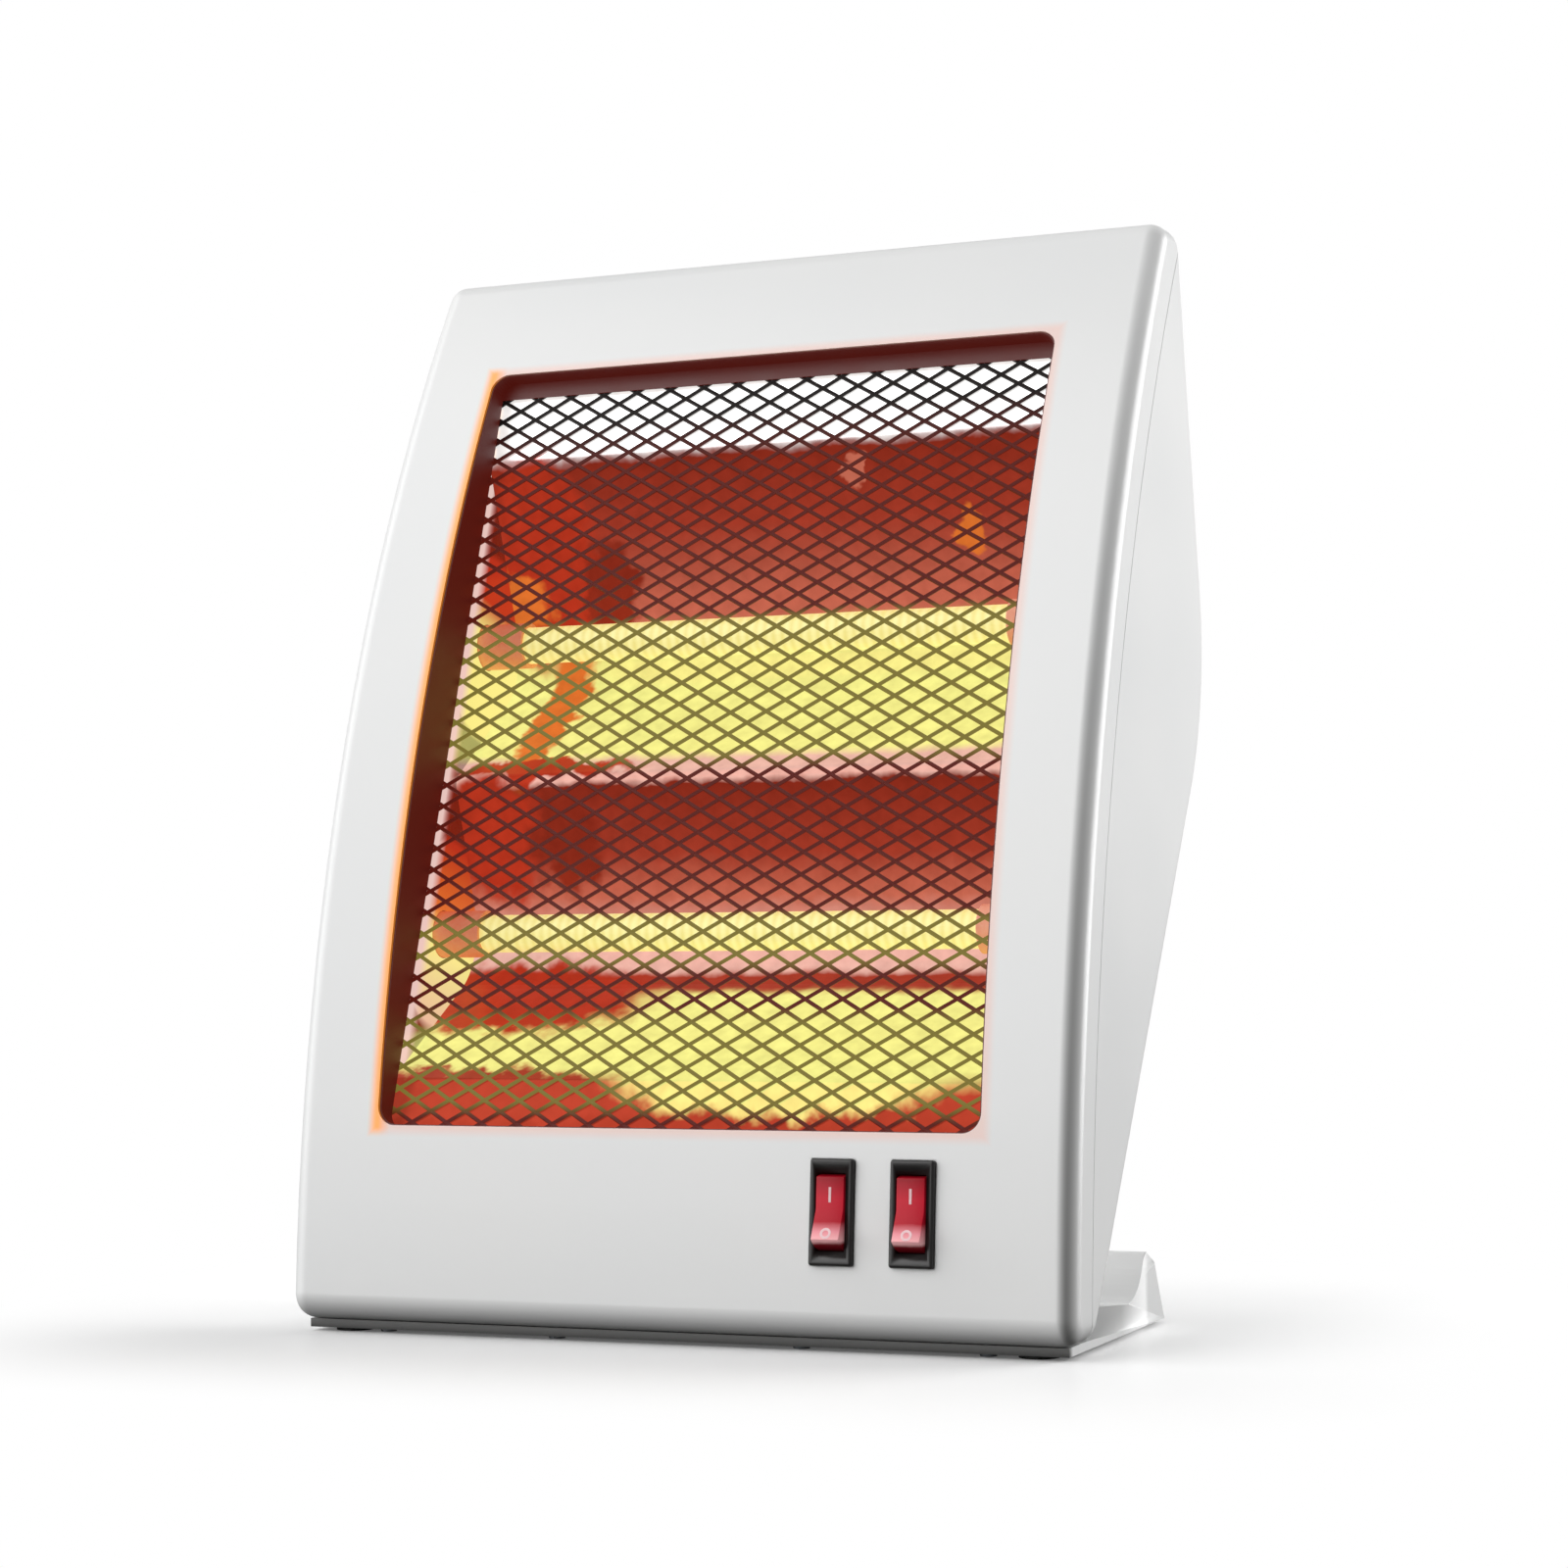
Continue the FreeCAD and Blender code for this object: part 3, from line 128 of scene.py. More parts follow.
def grained(name, grain, detail, colours, roughness, relief):
    """A new material whose colour, gloss and relief follow one noise with grains of a size."""
    material, tree, shader, place = finish_named(name)
    noise = add(tree, "ShaderNodeTexNoise", {"Vector": place, "Scale": 1 / grain, "Detail": detail})
    surface(tree, shader, noise.outputs["Fac"], colours, roughness, relief)
    return material, tree, shader, place


def linked(name, data):
    """A new object of the scene with a mesh, a light or a camera."""
    piece = bpy.data.objects.new(name, data)
    bpy.context.scene.collection.objects.link(piece)
    return piece


def made_from(form, name):
    """Turns an edited mesh into an object of the scene."""
    mesh = bpy.data.meshes.new(name)
    form.to_mesh(mesh)
    form.free()
    return linked(name, mesh)


def joined(node_name):
    """A node's mesh for editing, its triangles joined at their corners."""
    form = bmesh.new()
    form.from_mesh(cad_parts[node_name].data)
    bmesh.ops.remove_doubles(form, verts=form.verts, dist=MERGE_REACH)
    return form


def creased(piece, crease=CREASE):
    """Shades a piece smooth, except at edges that turn by more than an angle in degrees."""
    piece.data.shade_smooth()
    piece.data.set_sharp_from_angle(angle=math.radians(crease))


def smooth_copy(node_name, crease=CREASE):
    """A copy of a rigid node, shaded so that flats stay flat and curves smooth."""
    draft = made_from(joined(node_name), node_name + "_draft")
    creased(draft, crease)
    weighted = draft.modifiers.new("Normals", "WEIGHTED_NORMAL")
    weighted.weight = 100
    weighted.keep_sharp = True
    scene_state = bpy.context.evaluated_depsgraph_get()
    mesh = bpy.data.meshes.new_from_object(draft.evaluated_get(scene_state), preserve_all_data_layers=True,
                                           depsgraph=scene_state)
    mesh.materials.clear()
    bpy.data.objects.remove(draft)
    return linked(node_name + "_finished", mesh)


def settle(piece, material, slot_name, body, *nodes):
    """Gives a piece its material, its body and the nodes that it stands for; slot_name is not used."""
    if material:
        piece.data.materials.clear()
        piece.data.materials.append(material)
    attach(piece, body)
    if nodes:
        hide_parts(*nodes)


# Glossy moulded ABS: a clean cool white with a wet-looking skin, the faint ripple of a polished mould
# and slow shifts of tone where the wall thickness changes.
def glossy_abs(name):
    """White ABS under a name of its own, to which a piece can add a painted shade or glow."""
    material, tree, shader, place = grained(
        name, grain=45 * mm, detail=0.0, colours=("#E7E8E8", "#EBEBEA"), roughness=(0.27, 0.33),
        relief=0.002 * mm)
    connect(tree, shader, {"IOR": 1.53})
    return material, tree, shader, place


# The stand's ABS, with painted shade and light: a painted shadow along the front edge, which lies in the gap
# below the cover, darkest at the floor, and a painted glow at the heel.
GAP_REACH = 4 * mm
HEEL_REACH = 45 * mm
HEEL_CREST = 21 * mm
HEEL_BACK = 16.8 * mm
PAINTED_HEEL_LIGHT = 0.3
HEEL_BACK_SHARE = 0.1
stand_low, stand_high = corners("stand")
abs_stand, tree, shader, place = glossy_abs("Glossy white ABS with painted gap shade and heel light")
along = add(tree, "ShaderNodeSeparateXYZ", {0: place})
shade = add(tree, "ShaderNodeMapRange",
            {"Value": along.outputs["Y"], "From Min": stand_low.y, "From Max": stand_low.y + GAP_REACH,
             "To Min": 1.0, "To Max": 0.0}, interpolation_type="SMOOTHSTEP")
rising = add(tree, "ShaderNodeMapRange",
             {"Value": along.outputs["Z"], "From Min": stand_low.z, "From Max": stand_low.z + GAP_REACH})
# A painted shadow in the gap below the cover: dark at the floor, paler higher up.
painted_gap_shade = add(tree, "ShaderNodeMix", {0: rising, 6: "#242423", 7: "#8A8A88"}, data_type="RGBA")
skin = shader.inputs["Base Color"].links[0].from_socket
gap_shaded = add(tree, "ShaderNodeMix", {0: shade, 6: skin, 7: painted_gap_shade.outputs[2]}, data_type="RGBA")
# A painted glow on the heel, rising to a crest and falling off towards the back.
rise = add(tree, "ShaderNodeMapRange",
           {"Value": along.outputs["Y"], "From Min": stand_high.y - HEEL_REACH,
            "From Max": stand_high.y - HEEL_CREST, "To Max": PAINTED_HEEL_LIGHT})
fall = add(tree, "ShaderNodeMapRange",
           {"Value": along.outputs["Y"], "From Min": stand_high.y - HEEL_CREST,
            "From Max": stand_high.y - HEEL_BACK, "To Min": 1.0, "To Max": HEEL_BACK_SHARE})
painted_heel_light = add(tree, "ShaderNodeMath", {0: rise, 1: fall}, operation="MULTIPLY")
connect(tree, shader, {"Base Color": gap_shaded.outputs[2], "Emission Strength": painted_heel_light})
settle(smooth_copy("stand"), abs_stand, "white_abs", "heater", "stand")

# Sole plate and feet. A zinc-plated steel plate, screwed to posts in the tray, closes and weights it. Of four
# round rubber pads, two are let into the front sole and two lie under the plate, so that nothing slides.
# The shares are parts of a screw head's radius: where its rim begins, its top and its cross recess.
HEAD_RIM_SHARE = 0.9
HEAD_TOP_SHARE = 0.82
RECESS_LENGTH_SHARE = 1.25
RECESS_WIDTH_SHARE = 0.3
TIP_REACH = 0.1 * mm
SPANGLE = 5 * mm
# Zinc plate: a cold bright grey, clouded by the crystals of the coating.
zinc, tree, shader, place = finish_named("Bright zinc-plated steel")
spangle = add(tree, "ShaderNodeTexVoronoi", {"Vector": place, "Scale": 1 / SPANGLE})
surface(tree, shader, spangle.outputs["Distance"], colours=("#C9CCD2", "#A9AEB6"), roughness=(0.24, 0.42),
        relief=0.004 * mm)
connect(tree, shader, {"Metallic": 1.0})


def geometry_tree(name, sizes):
    """An empty geometry tree with named inputs: the tree, its input sockets and their identifiers."""
    made = bpy.data.node_groups.new(name, "GeometryNodeTree")
    for end in ("INPUT", "OUTPUT"):
        made.interface.new_socket("Geometry", in_out=end, socket_type="NodeSocketGeometry")
    identifiers = {}
    for size, value in sizes.items():
        kind = "NodeSocketInt" if isinstance(value, int) else "NodeSocketFloat"
        identifiers[size] = made.interface.new_socket(size, in_out="INPUT", socket_type=kind).identifier
    return made, made.nodes.new("NodeGroupInput").outputs, identifiers


def grown(name, made, identifiers, sizes, last, material, points=()):
    """Ends a tree, runs it on a set of points with the given sizes and keeps the result as a plain mesh."""
    solid = add(made, "GeometryNodeRealizeInstances", {"Geometry": last})
    painted = add(made, "GeometryNodeSetMaterial", {"Geometry": solid, "Material": material})
    end = made.nodes.new("NodeGroupOutput")
    connect(made, end, {"Geometry": painted})
    seed = linked(name + "_seed", bpy.data.meshes.new(name + "_seed"))
    seed.data.from_pydata(points, [], [])
    modifier = seed.modifiers.new("Grow", "NODES")
    modifier.node_group = made
    for size, identifier in identifiers.items():
        modifier[identifier] = sizes[size]
    mesh = bpy.data.meshes.new_from_object(seed.evaluated_get(bpy.context.evaluated_depsgraph_get()))
    mesh.name = name
    bpy.data.objects.remove(seed)
    return linked(name, mesh)


def loose_parts(form):
    """The loose parts of an edited mesh, each as a list of its corners."""
    unseen, parts = set(form.verts), []
    for first in form.verts:
        if first not in unseen:
            continue
        unseen.remove(first)
        part, reached = [], [first]
        while reached:
            vert = reached.pop()
            part.append(vert)
            for edge in vert.link_edges:
                other = edge.other_vert(vert)
                if other in unseen:
                    unseen.remove(other)
                    reached.append(other)
        parts.append(part)
    return parts


def screws_of(node_name, outward):
    """The tops of a node's screws and the sizes of one of them; the screws of a node are alike."""
    form = joined(node_name)
    sideways = Vector((1, 0, 0))
    upward = outward.cross(sideways)
    tops = []
    for part in loose_parts(form):
        across, along, levels = [[vert.co.dot(axis) for vert in part] for axis in (sideways, upward, outward)]
        middle_across, middle_along = (min(across) + max(across)) / 2, (min(along) + max(along)) / 2
        tip, top = min(levels), max(levels)
        tops.append(sideways * middle_across + upward * middle_along + outward * top)
        radii = [math.hypot(a - middle_across, b - middle_along) for a, b in zip(across, along)]
        head_radius = max(radii)
        head_low = min(level for level, radius in zip(levels, radii) if radius > HEAD_RIM_SHARE * head_radius)
        shank_radius = max(radius for level, radius in zip(levels, radii) if level < tip + TIP_REACH)
        sizes = {"Head radius": head_radius, "Head top radius": HEAD_TOP_SHARE * head_radius,
                 "Head height": top - head_low, "Shank radius": shank_radius, "Shank length": head_low - tip,
                 "Recess length": RECESS_LENGTH_SHARE * head_radius,
                 "Recess width": RECESS_WIDTH_SHARE * head_radius}
    form.free()
    return tops, sizes


def cross_head_screws(node_name, outward):
    """Screws in the places and sizes of a node's own, with narrowed heads and cross recesses."""
    tops, sizes = screws_of(node_name, outward)
    made, size, identifiers = geometry_tree(node_name + "_cross_head", sizes)
    down = add(made, "ShaderNodeMath", {0: size["Head height"], 1: -1.0}, operation="MULTIPLY")
    head_at = add(made, "ShaderNodeCombineXYZ", {"Z": down})
    head = add(made, "GeometryNodeMeshCone",
               {"Vertices": 32, "Radius Top": size["Head top radius"],
                "Radius Bottom": size["Head radius"], "Depth": size["Head height"]})
    raised = add(made, "GeometryNodeTransform", {"Geometry": head, "Translation": head_at})
    recess = add(made, "GeometryNodeMeshBoolean", {"Mesh 1": raised}, operation="DIFFERENCE")
    for wide, deep in (("Recess length", "Recess width"), ("Recess width", "Recess length")):
        bar_size = add(made, "ShaderNodeCombineXYZ",
                       {"X": size[wide], "Y": size[deep], "Z": size["Head height"]})
        bar = add(made, "GeometryNodeMeshCube", {"Size": bar_size})
        connect(made, recess, {"Mesh 2": bar})
    half = add(made, "ShaderNodeMath", {0: size["Shank length"], 1: -2.0}, operation="DIVIDE")
    below = add(made, "ShaderNodeMath", {0: half, 1: down}, operation="ADD")
    shank_at = add(made, "ShaderNodeCombineXYZ", {"Z": below})
    shank = add(made, "GeometryNodeMeshCylinder",
                {"Vertices": 20, "Radius": size["Shank radius"], "Depth": size["Shank length"]})
    lowered = add(made, "GeometryNodeTransform", {"Geometry": shank, "Translation": shank_at})
    screw = add(made, "GeometryNodeJoinGeometry")
    for shape in (recess, lowered):
        connect(made, screw, {"Geometry": shape})
    driven = add(made, "GeometryNodeInstanceOnPoints",
                 {"Points": size["Geometry"], "Instance": screw,
                  "Rotation": outward.to_track_quat("Z", "X").to_euler()})
    piece = grown(node_name + "_driven", made, identifiers, sizes, driven, zinc, tops)
    creased(piece)
    settle(piece, None, "zinc_plated_steel", "heater", node_name)


settle(smooth_copy("sole_plate"), zinc, "zinc_plated_steel", "heater", "sole_plate")
for name in ("sole_plate_screws", "stand_screws"):
    cross_head_screws(name, Vector((0, 0, -1)))
# Rubber: dull black with a fine grit that catches dust.
rubber = grained("Moulded black rubber", grain=0.6 * mm, detail=4.0, colours=("#121212", "#2B2B2A"),
                 roughness=(0.65, 0.85), relief=0.05 * mm)[0]
settle(smooth_copy("rubber_feet"), rubber, "black_rubber", "heater", "rubber_feet")

# Tip-over switch. A black nylon box on the sole plate; a white plunger in it rests on the floor and is
# pushed down by a small steel spring, so that it drops and cuts the current if the heater falls over.
SPRING_WIRE = 0.3 * mm
SPRING_TURNS = 4
# Nylon: near black, satin, with the fine spark grain of its mould.
nylon = grained("Black moulded nylon", grain=0.4 * mm, detail=3.0, colours=("#0E0D0D", "#221F1E"),
                roughness=(0.34, 0.5), relief=0.02 * mm)[0]
settle(smooth_copy("tip_switch_body"), nylon, "black_nylon", "heater", "tip_switch_body")
# Natural nylon: a soft ivory white, waxy and without gloss.
ivory = grained("Natural white nylon", grain=2 * mm, detail=2.0, colours=("#D9D6C8", "#E7E4D8"),
                roughness=(0.42, 0.58), relief=0.01 * mm)[0]
settle(smooth_copy("tip_plunger"), ivory, "white_nylon", "tip_plunger", "tip_plunger")
# Spring steel: wire and strip, grey with small uneven patches of brightness.
spring_steel, tree, shader, place = grained(
    "Drawn spring steel", grain=0.8 * mm, detail=3.0, colours=("#8E9092", "#B4B6B8"), roughness=(0.26, 0.44),
    relief=0.01 * mm)
connect(tree, shader, {"Metallic": 1.0})


def wound(name, turns, radius, wire, length, base, turn, material):
    """A round wire wound into a helix of a length, from a base place, turned out of the upright."""
    sizes = {"Turns": float(turns), "Radius": radius, "Wire": wire, "Length": length}
    made, size, identifiers = geometry_tree(name + "_turns", sizes)
    helix = add(made, "GeometryNodeCurveSpiral",
                {"Resolution": 20, "Rotations": size["Turns"], "Start Radius": size["Radius"],
                 "End Radius": size["Radius"], "Height": size["Length"]})
    ring = add(made, "GeometryNodeCurvePrimitiveCircle", {"Resolution": 8, "Radius": size["Wire"]})
    coil = add(made, "GeometryNodeCurveToMesh", {"Curve": helix, "Profile Curve": ring, "Fill Caps": True})
    laid = add(made, "GeometryNodeTransform", {"Geometry": coil, "Translation": base, "Rotation": turn})
    piece = grown(name, made, identifiers, sizes, laid, material)
    piece.data.shade_smooth()
    return piece


spring_low, spring_high = corners("tip_spring")
spring_base = Vector(((spring_low.x + spring_high.x) / 2, (spring_low.y + spring_high.y) / 2,
                      spring_low.z + SPRING_WIRE))
spring = wound("tip_spring_wire", SPRING_TURNS, (spring_high.x - spring_low.x) / 2 - SPRING_WIRE, SPRING_WIRE,
               spring_high.z - spring_low.z - 2 * SPRING_WIRE, spring_base, Euler((0, 0, 0)), spring_steel)
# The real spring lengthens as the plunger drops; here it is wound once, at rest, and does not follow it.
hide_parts("tip_spring")
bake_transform(spring)

# Rear cover. The deep back half of the body, one ABS moulding with slotted vents and long screw wells,
# drawn onto the front cover by six screws that stand square to the guard's plane.
GUARD_THICKNESS = 0.8 * mm
REAR_CREASE = 10.0
abs_white = glossy_abs("Glossy white ABS")[0]
settle(smooth_copy("rear_cover", REAR_CREASE), abs_white, "white_abs", "heater", "rear_cover")
guard_low, guard_high = corners("guard_mesh")
guard_rise = guard_high.z - guard_low.z
guard_run = guard_high.y - guard_low.y
guard_lean = math.atan2(guard_run - GUARD_THICKNESS, guard_rise)
cross_head_screws("cover_screws", Vector((0, math.cos(guard_lean), -math.sin(guard_lean))))

# Cord inlet. A black nylon bush through the rear cover, held inside by a six-sided nut; the mains cord
# would come in here and end at a three-way block of natural nylon on the floor of the front cover.
for name in ("cord_inlet", "inlet_nut"):
    settle(smooth_copy(name), nylon, "black_nylon", "heater", name)
settle(smooth_copy("terminal_block"), ivory, "white_nylon", "heater", "terminal_block")

# Front cover. The curved face of the heater, one ABS moulding whose window has a deep inward rim.
# A painted glow along the window's edge stands in for the light of the elements behind it, most of all on the
# left.
GUARD_MARGIN = 6 * mm
guard_width = guard_high.x - guard_low.x
guard_height = math.hypot(guard_run - GUARD_THICKNESS, guard_rise)
guard_centre = (guard_low + guard_high) / 2
panel_turn = Euler((math.pi / 2 - guard_lean, 0, 0))
window_half_width = guard_width / 2 - GUARD_MARGIN
window_half_height = guard_height / 2 - GUARD_MARGIN


def on_panel(tree, place):
    """Millimetres across, up and out of the guard's plane, measured from its middle."""
    return add(tree, "ShaderNodeMapping",
               {"Vector": place, "Location": guard_centre, "Rotation": panel_turn, "Scale": (mm, mm, mm)},
               vector_type="TEXTURE").outputs["Vector"]


# The same glossy ABS, with painted light and shade: a painted orange glow over the window's edge, a painted
# shade along its lower edge, where it turns in above the gap, and one down its right edge, where it would
# mirror the darker side of the room.
# Places on the panel, here and below, are in millimetres.
GLOW_FULL, GLOW_END = 0.2, 3.8
LEFT_FULL, LEFT_END = -98.0, -94.0
OTHER_SIDES_SHARE = 0.3
WINDOW_GLOW = 0.3
HEM_REACH = 9 * mm
HEM_SHADE = 0.3
TURN_REACH = 3 * mm
TURN_SHADE = 0.75
cover_low, cover_high = corners("front_cover")
abs_glow, tree, shader, place = glossy_abs("Glossy white ABS with painted glow and shade")
where = on_panel(tree, place)
folded = add(tree, "ShaderNodeVectorMath", {0: where}, operation="ABSOLUTE")
outside = add(tree, "ShaderNodeVectorMath",
              {0: folded, 1: (window_half_width / mm, window_half_height / mm, 0)}, operation="SUBTRACT")
apart = add(tree, "ShaderNodeSeparateXYZ", {0: outside})
edge = add(tree, "ShaderNodeMath", {0: apart.outputs["X"], 1: apart.outputs["Y"]}, operation="MAXIMUM")
near = add(tree, "ShaderNodeMapRange",
           {"Value": edge, "From Min": GLOW_FULL, "From Max": GLOW_END, "To Min": 1.0, "To Max": 0.0},
           interpolation_type="SMOOTHSTEP")
across = add(tree, "ShaderNodeSeparateXYZ", {0: where})
leftward = add(tree, "ShaderNodeMapRange",
               {"Value": across.outputs["X"], "From Min": LEFT_FULL, "From Max": LEFT_END, "To Min": 1.0,
                "To Max": OTHER_SIDES_SHARE})
# A painted glow, orange on the left edge and rose on the others.
glow = add(tree, "ShaderNodeMix", {0: leftward, 6: "#E08A78", 7: "#F59A3C"}, data_type="RGBA")
painted_glow_amount = add(tree, "ShaderNodeMath", {0: near, 1: leftward}, operation="MULTIPLY")
skin = shader.inputs["Base Color"].links[0].from_socket
tinted = add(tree, "ShaderNodeMix", {0: painted_glow_amount, 6: skin, 7: glow.outputs[2]}, data_type="RGBA")
above = add(tree, "ShaderNodeSeparateXYZ", {0: place})
# A painted shade along the lower edge.
painted_hem_shade = add(tree, "ShaderNodeMapRange",
          {"Value": above.outputs["Z"], "From Min": cover_low.z, "From Max": cover_low.z + HEM_REACH,
           "To Min": HEM_SHADE, "To Max": 0.0}, interpolation_type="SMOOTHSTEP")
# A painted shade down the right edge, strongest low down; both shades mix the skin towards grey.
off_turn = add(tree, "ShaderNodeMath",
               {0: above.outputs["X"], 1: cover_high.x - TURN_REACH}, operation="SUBTRACT")
from_turn = add(tree, "ShaderNodeMath", {0: off_turn}, operation="ABSOLUTE")
fading = add(tree, "ShaderNodeMapRange",
             {"Value": above.outputs["Z"], "From Min": cover_low.z, "From Max": cover_high.z,
              "To Min": TURN_SHADE, "To Max": 0.0})
turn = add(tree, "ShaderNodeMapRange",
           {"Value": from_turn, "From Max": TURN_REACH, "To Min": fading, "To Max": 0.0},
           interpolation_type="SMOOTHSTEP")
shade = add(tree, "ShaderNodeMath", {0: painted_hem_shade, 1: turn}, operation="MAXIMUM")
shaded = add(tree, "ShaderNodeMix", {0: shade, 6: tinted.outputs[2], 7: "#565654"}, data_type="RGBA")
connect(tree, shader, {"Base Color": shaded.outputs[2], "Emission Color": glow.outputs[2]})
painted_glow_strength = add(tree, "ShaderNodeMath", {0: painted_glow_amount, 1: WINDOW_GLOW}, operation="MULTIPLY")
connect(tree, shader, {"Emission Strength": painted_glow_strength})
settle(smooth_copy("front_cover"), abs_glow, "white_abs", "heater", "front_cover")

# Window frame. A dark steel pressing that lines the window's rim and laps the guard's upper edge.
# It is thin, stays just behind the cover's face and follows its curve.
PANEL_FACE_RADIUS = 667.1 * mm
RIM_DEPTH = 7 * mm
FRAME_SHEET = 0.5 * mm
FRAME_CORNER = 6 * mm
FRAME_SETBACK = 0.9 * mm
FRAME_LAP = 5.5 * mm
FRAME_GLOW = 0.6
FIT = 0.12 * mm
CORNER_STEPS = 8
SIDE_STEPS = 24


def frame_outline(inset):
    """Points across and up the panel round the window, drawn in by an inset."""
    radius = FRAME_CORNER - inset
    reach_across, reach_up = window_half_width - inset - radius, window_half_height - inset - radius
    points = []
    for right, upper, start in ((1, 1, 0), (-1, 1, 90), (-1, -1, 180), (1, -1, 270)):
        for step in range(CORNER_STEPS + 1):
            angle = math.radians(start + 90 * step / CORNER_STEPS)
            points.append((right * reach_across + radius * math.cos(angle),
                           upper * reach_up + radius * math.sin(angle)))
        if start in (90, 270):
            side, low = points[-1]
            points += [(side, low - 2 * low * step / SIDE_STEPS) for step in range(1, SIDE_STEPS)]
    return points


def arc_drop(up):
    """How far the front face's arc falls back from its middle at a height up the panel."""
    return PANEL_FACE_RADIUS - math.sqrt(PANEL_FACE_RADIUS ** 2 - up ** 2)


def face_level(up):
    """How far the front face stands out of the guard's plane at a height up the panel."""
    return arc_drop(window_half_height) + RIM_DEPTH + GUARD_THICKNESS / 2 - arc_drop(up)


def bridge(form, one, two):
    """Joins two rings of corners with four-sided faces."""
    for k in range(len(one)):
        following = (k + 1) % len(one)
        form.faces.new((one[k], one[following], two[following], two[k]))


stand_up = Matrix.Translation(guard_centre) @ panel_turn.to_matrix().to_4x4()
frame_back = GUARD_THICKNESS / 2 + FIT
form = bmesh.new()
rings = []
for inset, front in ((FIT, False), (FIT, True), (FIT + FRAME_SHEET, True), (FIT + FRAME_SHEET, False)):
    ring = []
    for across, up_panel in frame_outline(inset):
        level = face_level(up_panel) - FRAME_SETBACK if front else frame_back
        ring.append(form.verts.new(stand_up @ Vector((across, up_panel, level))))
    rings.append(ring)
for one, two in zip(rings, rings[1:] + rings[:1]):
    bridge(form, one, two)
lap_low = window_half_height - FIT - FRAME_SHEET - FRAME_LAP
lap_edge = [point for point in frame_outline(FIT + FRAME_SHEET / 2) if point[1] > lap_low]
lap_edge = [(lap_edge[0][0], lap_low)] + lap_edge + [(lap_edge[-1][0], lap_low)]
lap_sides = [[form.verts.new(stand_up @ Vector((across, up_panel, level))) for across, up_panel in lap_edge]
             for level in (frame_back, frame_back + FRAME_SHEET)]
for side in lap_sides:
    form.faces.new(side)
bridge(form, *lap_sides)
bmesh.ops.recalc_face_normals(form, faces=form.faces)
window_frame = made_from(form, "window_frame")
# Almost black enamel, with a maroon tint and a painted glow that stand in for the light of the elements.
glow_tinted_enamel, tree, shader, place = grained(
    "Black enamel with painted glow", grain=14 * mm, detail=3.0, colours=("#1C0705", "#3A0F0B"), roughness=(0.4, 0.6),
    relief=0.02 * mm)
connect(tree, shader, {"Emission Color": "#5A1710", "Emission Strength": FRAME_GLOW})
settle(window_frame, glow_tinted_enamel, "black_enamelled_steel", "heater")

# Guard. A flat sheet of expanded steel, slit and stretched into diamonds, enamelled black and held
# between the window's rim and the reflector's lips.
GUARD_CELL_LONG = 12.1 * mm
GUARD_CELL_SHORT = 7.2 * mm
GUARD_STRAND = 1.05 * mm
STRAND_TWIST = 0.3
STRAND_GLOW = 0.9
# Tones of the painted glow on the strands, in bands up the panel.
WARM, MAROON, UNLIT = "#807430", "#5A140A", "#060303"
PAINTED_BACKLIGHT = ((-140, MAROON), (-124, MAROON), (-119, WARM), (-94, WARM), (-89, MAROON), (-78, MAROON),
             (-74, WARM), (-62, WARM), (-58, MAROON), (-12, MAROON), (-7, WARM), (38, WARM), (42, MAROON),
             (95, MAROON), (112, UNLIT), (140, UNLIT))


def banded(tree, along, stops):
    """Colours in bands along a direction, from pairs of a place and a hex colour."""
    share = add(tree, "ShaderNodeMapRange",
                {"Value": along, "From Min": stops[0][0], "From Max": stops[-1][0]})
    return add(tree, "ShaderNodeValToRGB", {"Fac": share}, stops=stops).outputs["Color"]


# Black enamel on steel: dipped and baked, nearly black, half glossy and a little uneven on the strands.
# A painted glow, in bands up the panel, stands in for the light behind the guard that warms its thin strands.
enamel, tree, shader, place = grained(
    "Baked black enamel", grain=4 * mm, detail=3.0, colours=("#070403", "#150A07"), roughness=(0.5, 0.65),
    relief=0.03 * mm)
connect(tree, shader, {"Specular IOR Level": 0.25})
measured = add(tree, "ShaderNodeSeparateXYZ", {0: on_panel(tree, place)})
painted_backlight = banded(tree, measured.outputs["Y"], PAINTED_BACKLIGHT)
connect(tree, shader, {"Emission Color": painted_backlight, "Emission Strength": STRAND_GLOW})
guard_sizes = {"Columns": int(guard_width // GUARD_CELL_LONG), "Rows": int(guard_height // GUARD_CELL_SHORT),
               "Cell long": GUARD_CELL_LONG, "Cell short": GUARD_CELL_SHORT, "Strand": GUARD_STRAND,
               "Thickness": GUARD_THICKNESS, "Width": guard_width, "Height": guard_height,
               "Border": GUARD_MARGIN}
made, size, identifiers = geometry_tree("Expanded sheet", guard_sizes)
lattice = add(made, "GeometryNodeJoinGeometry")
for fewer in (0, 1):
    field = add(made, "GeometryNodeMeshGrid")
    for axis, along, pitch in (("X", "Columns", "Cell long"), ("Y", "Rows", "Cell short")):
        count = add(made, "ShaderNodeMath", {0: size[along], 1: float(fewer)}, operation="SUBTRACT")
        gaps = add(made, "ShaderNodeMath", {0: count, 1: 1.0}, operation="SUBTRACT")
        span = add(made, "ShaderNodeMath", {0: gaps, 1: size[pitch]}, operation="MULTIPLY")
        connect(made, field, {"Vertices " + axis: count, "Size " + axis: span})
    connect(made, lattice, {"Geometry": field})
strand_angle = math.atan2(GUARD_CELL_SHORT, GUARD_CELL_LONG)
strand_length = math.hypot(GUARD_CELL_SHORT, GUARD_CELL_LONG) / 2
knot = add(made, "GeometryNodeJoinGeometry")
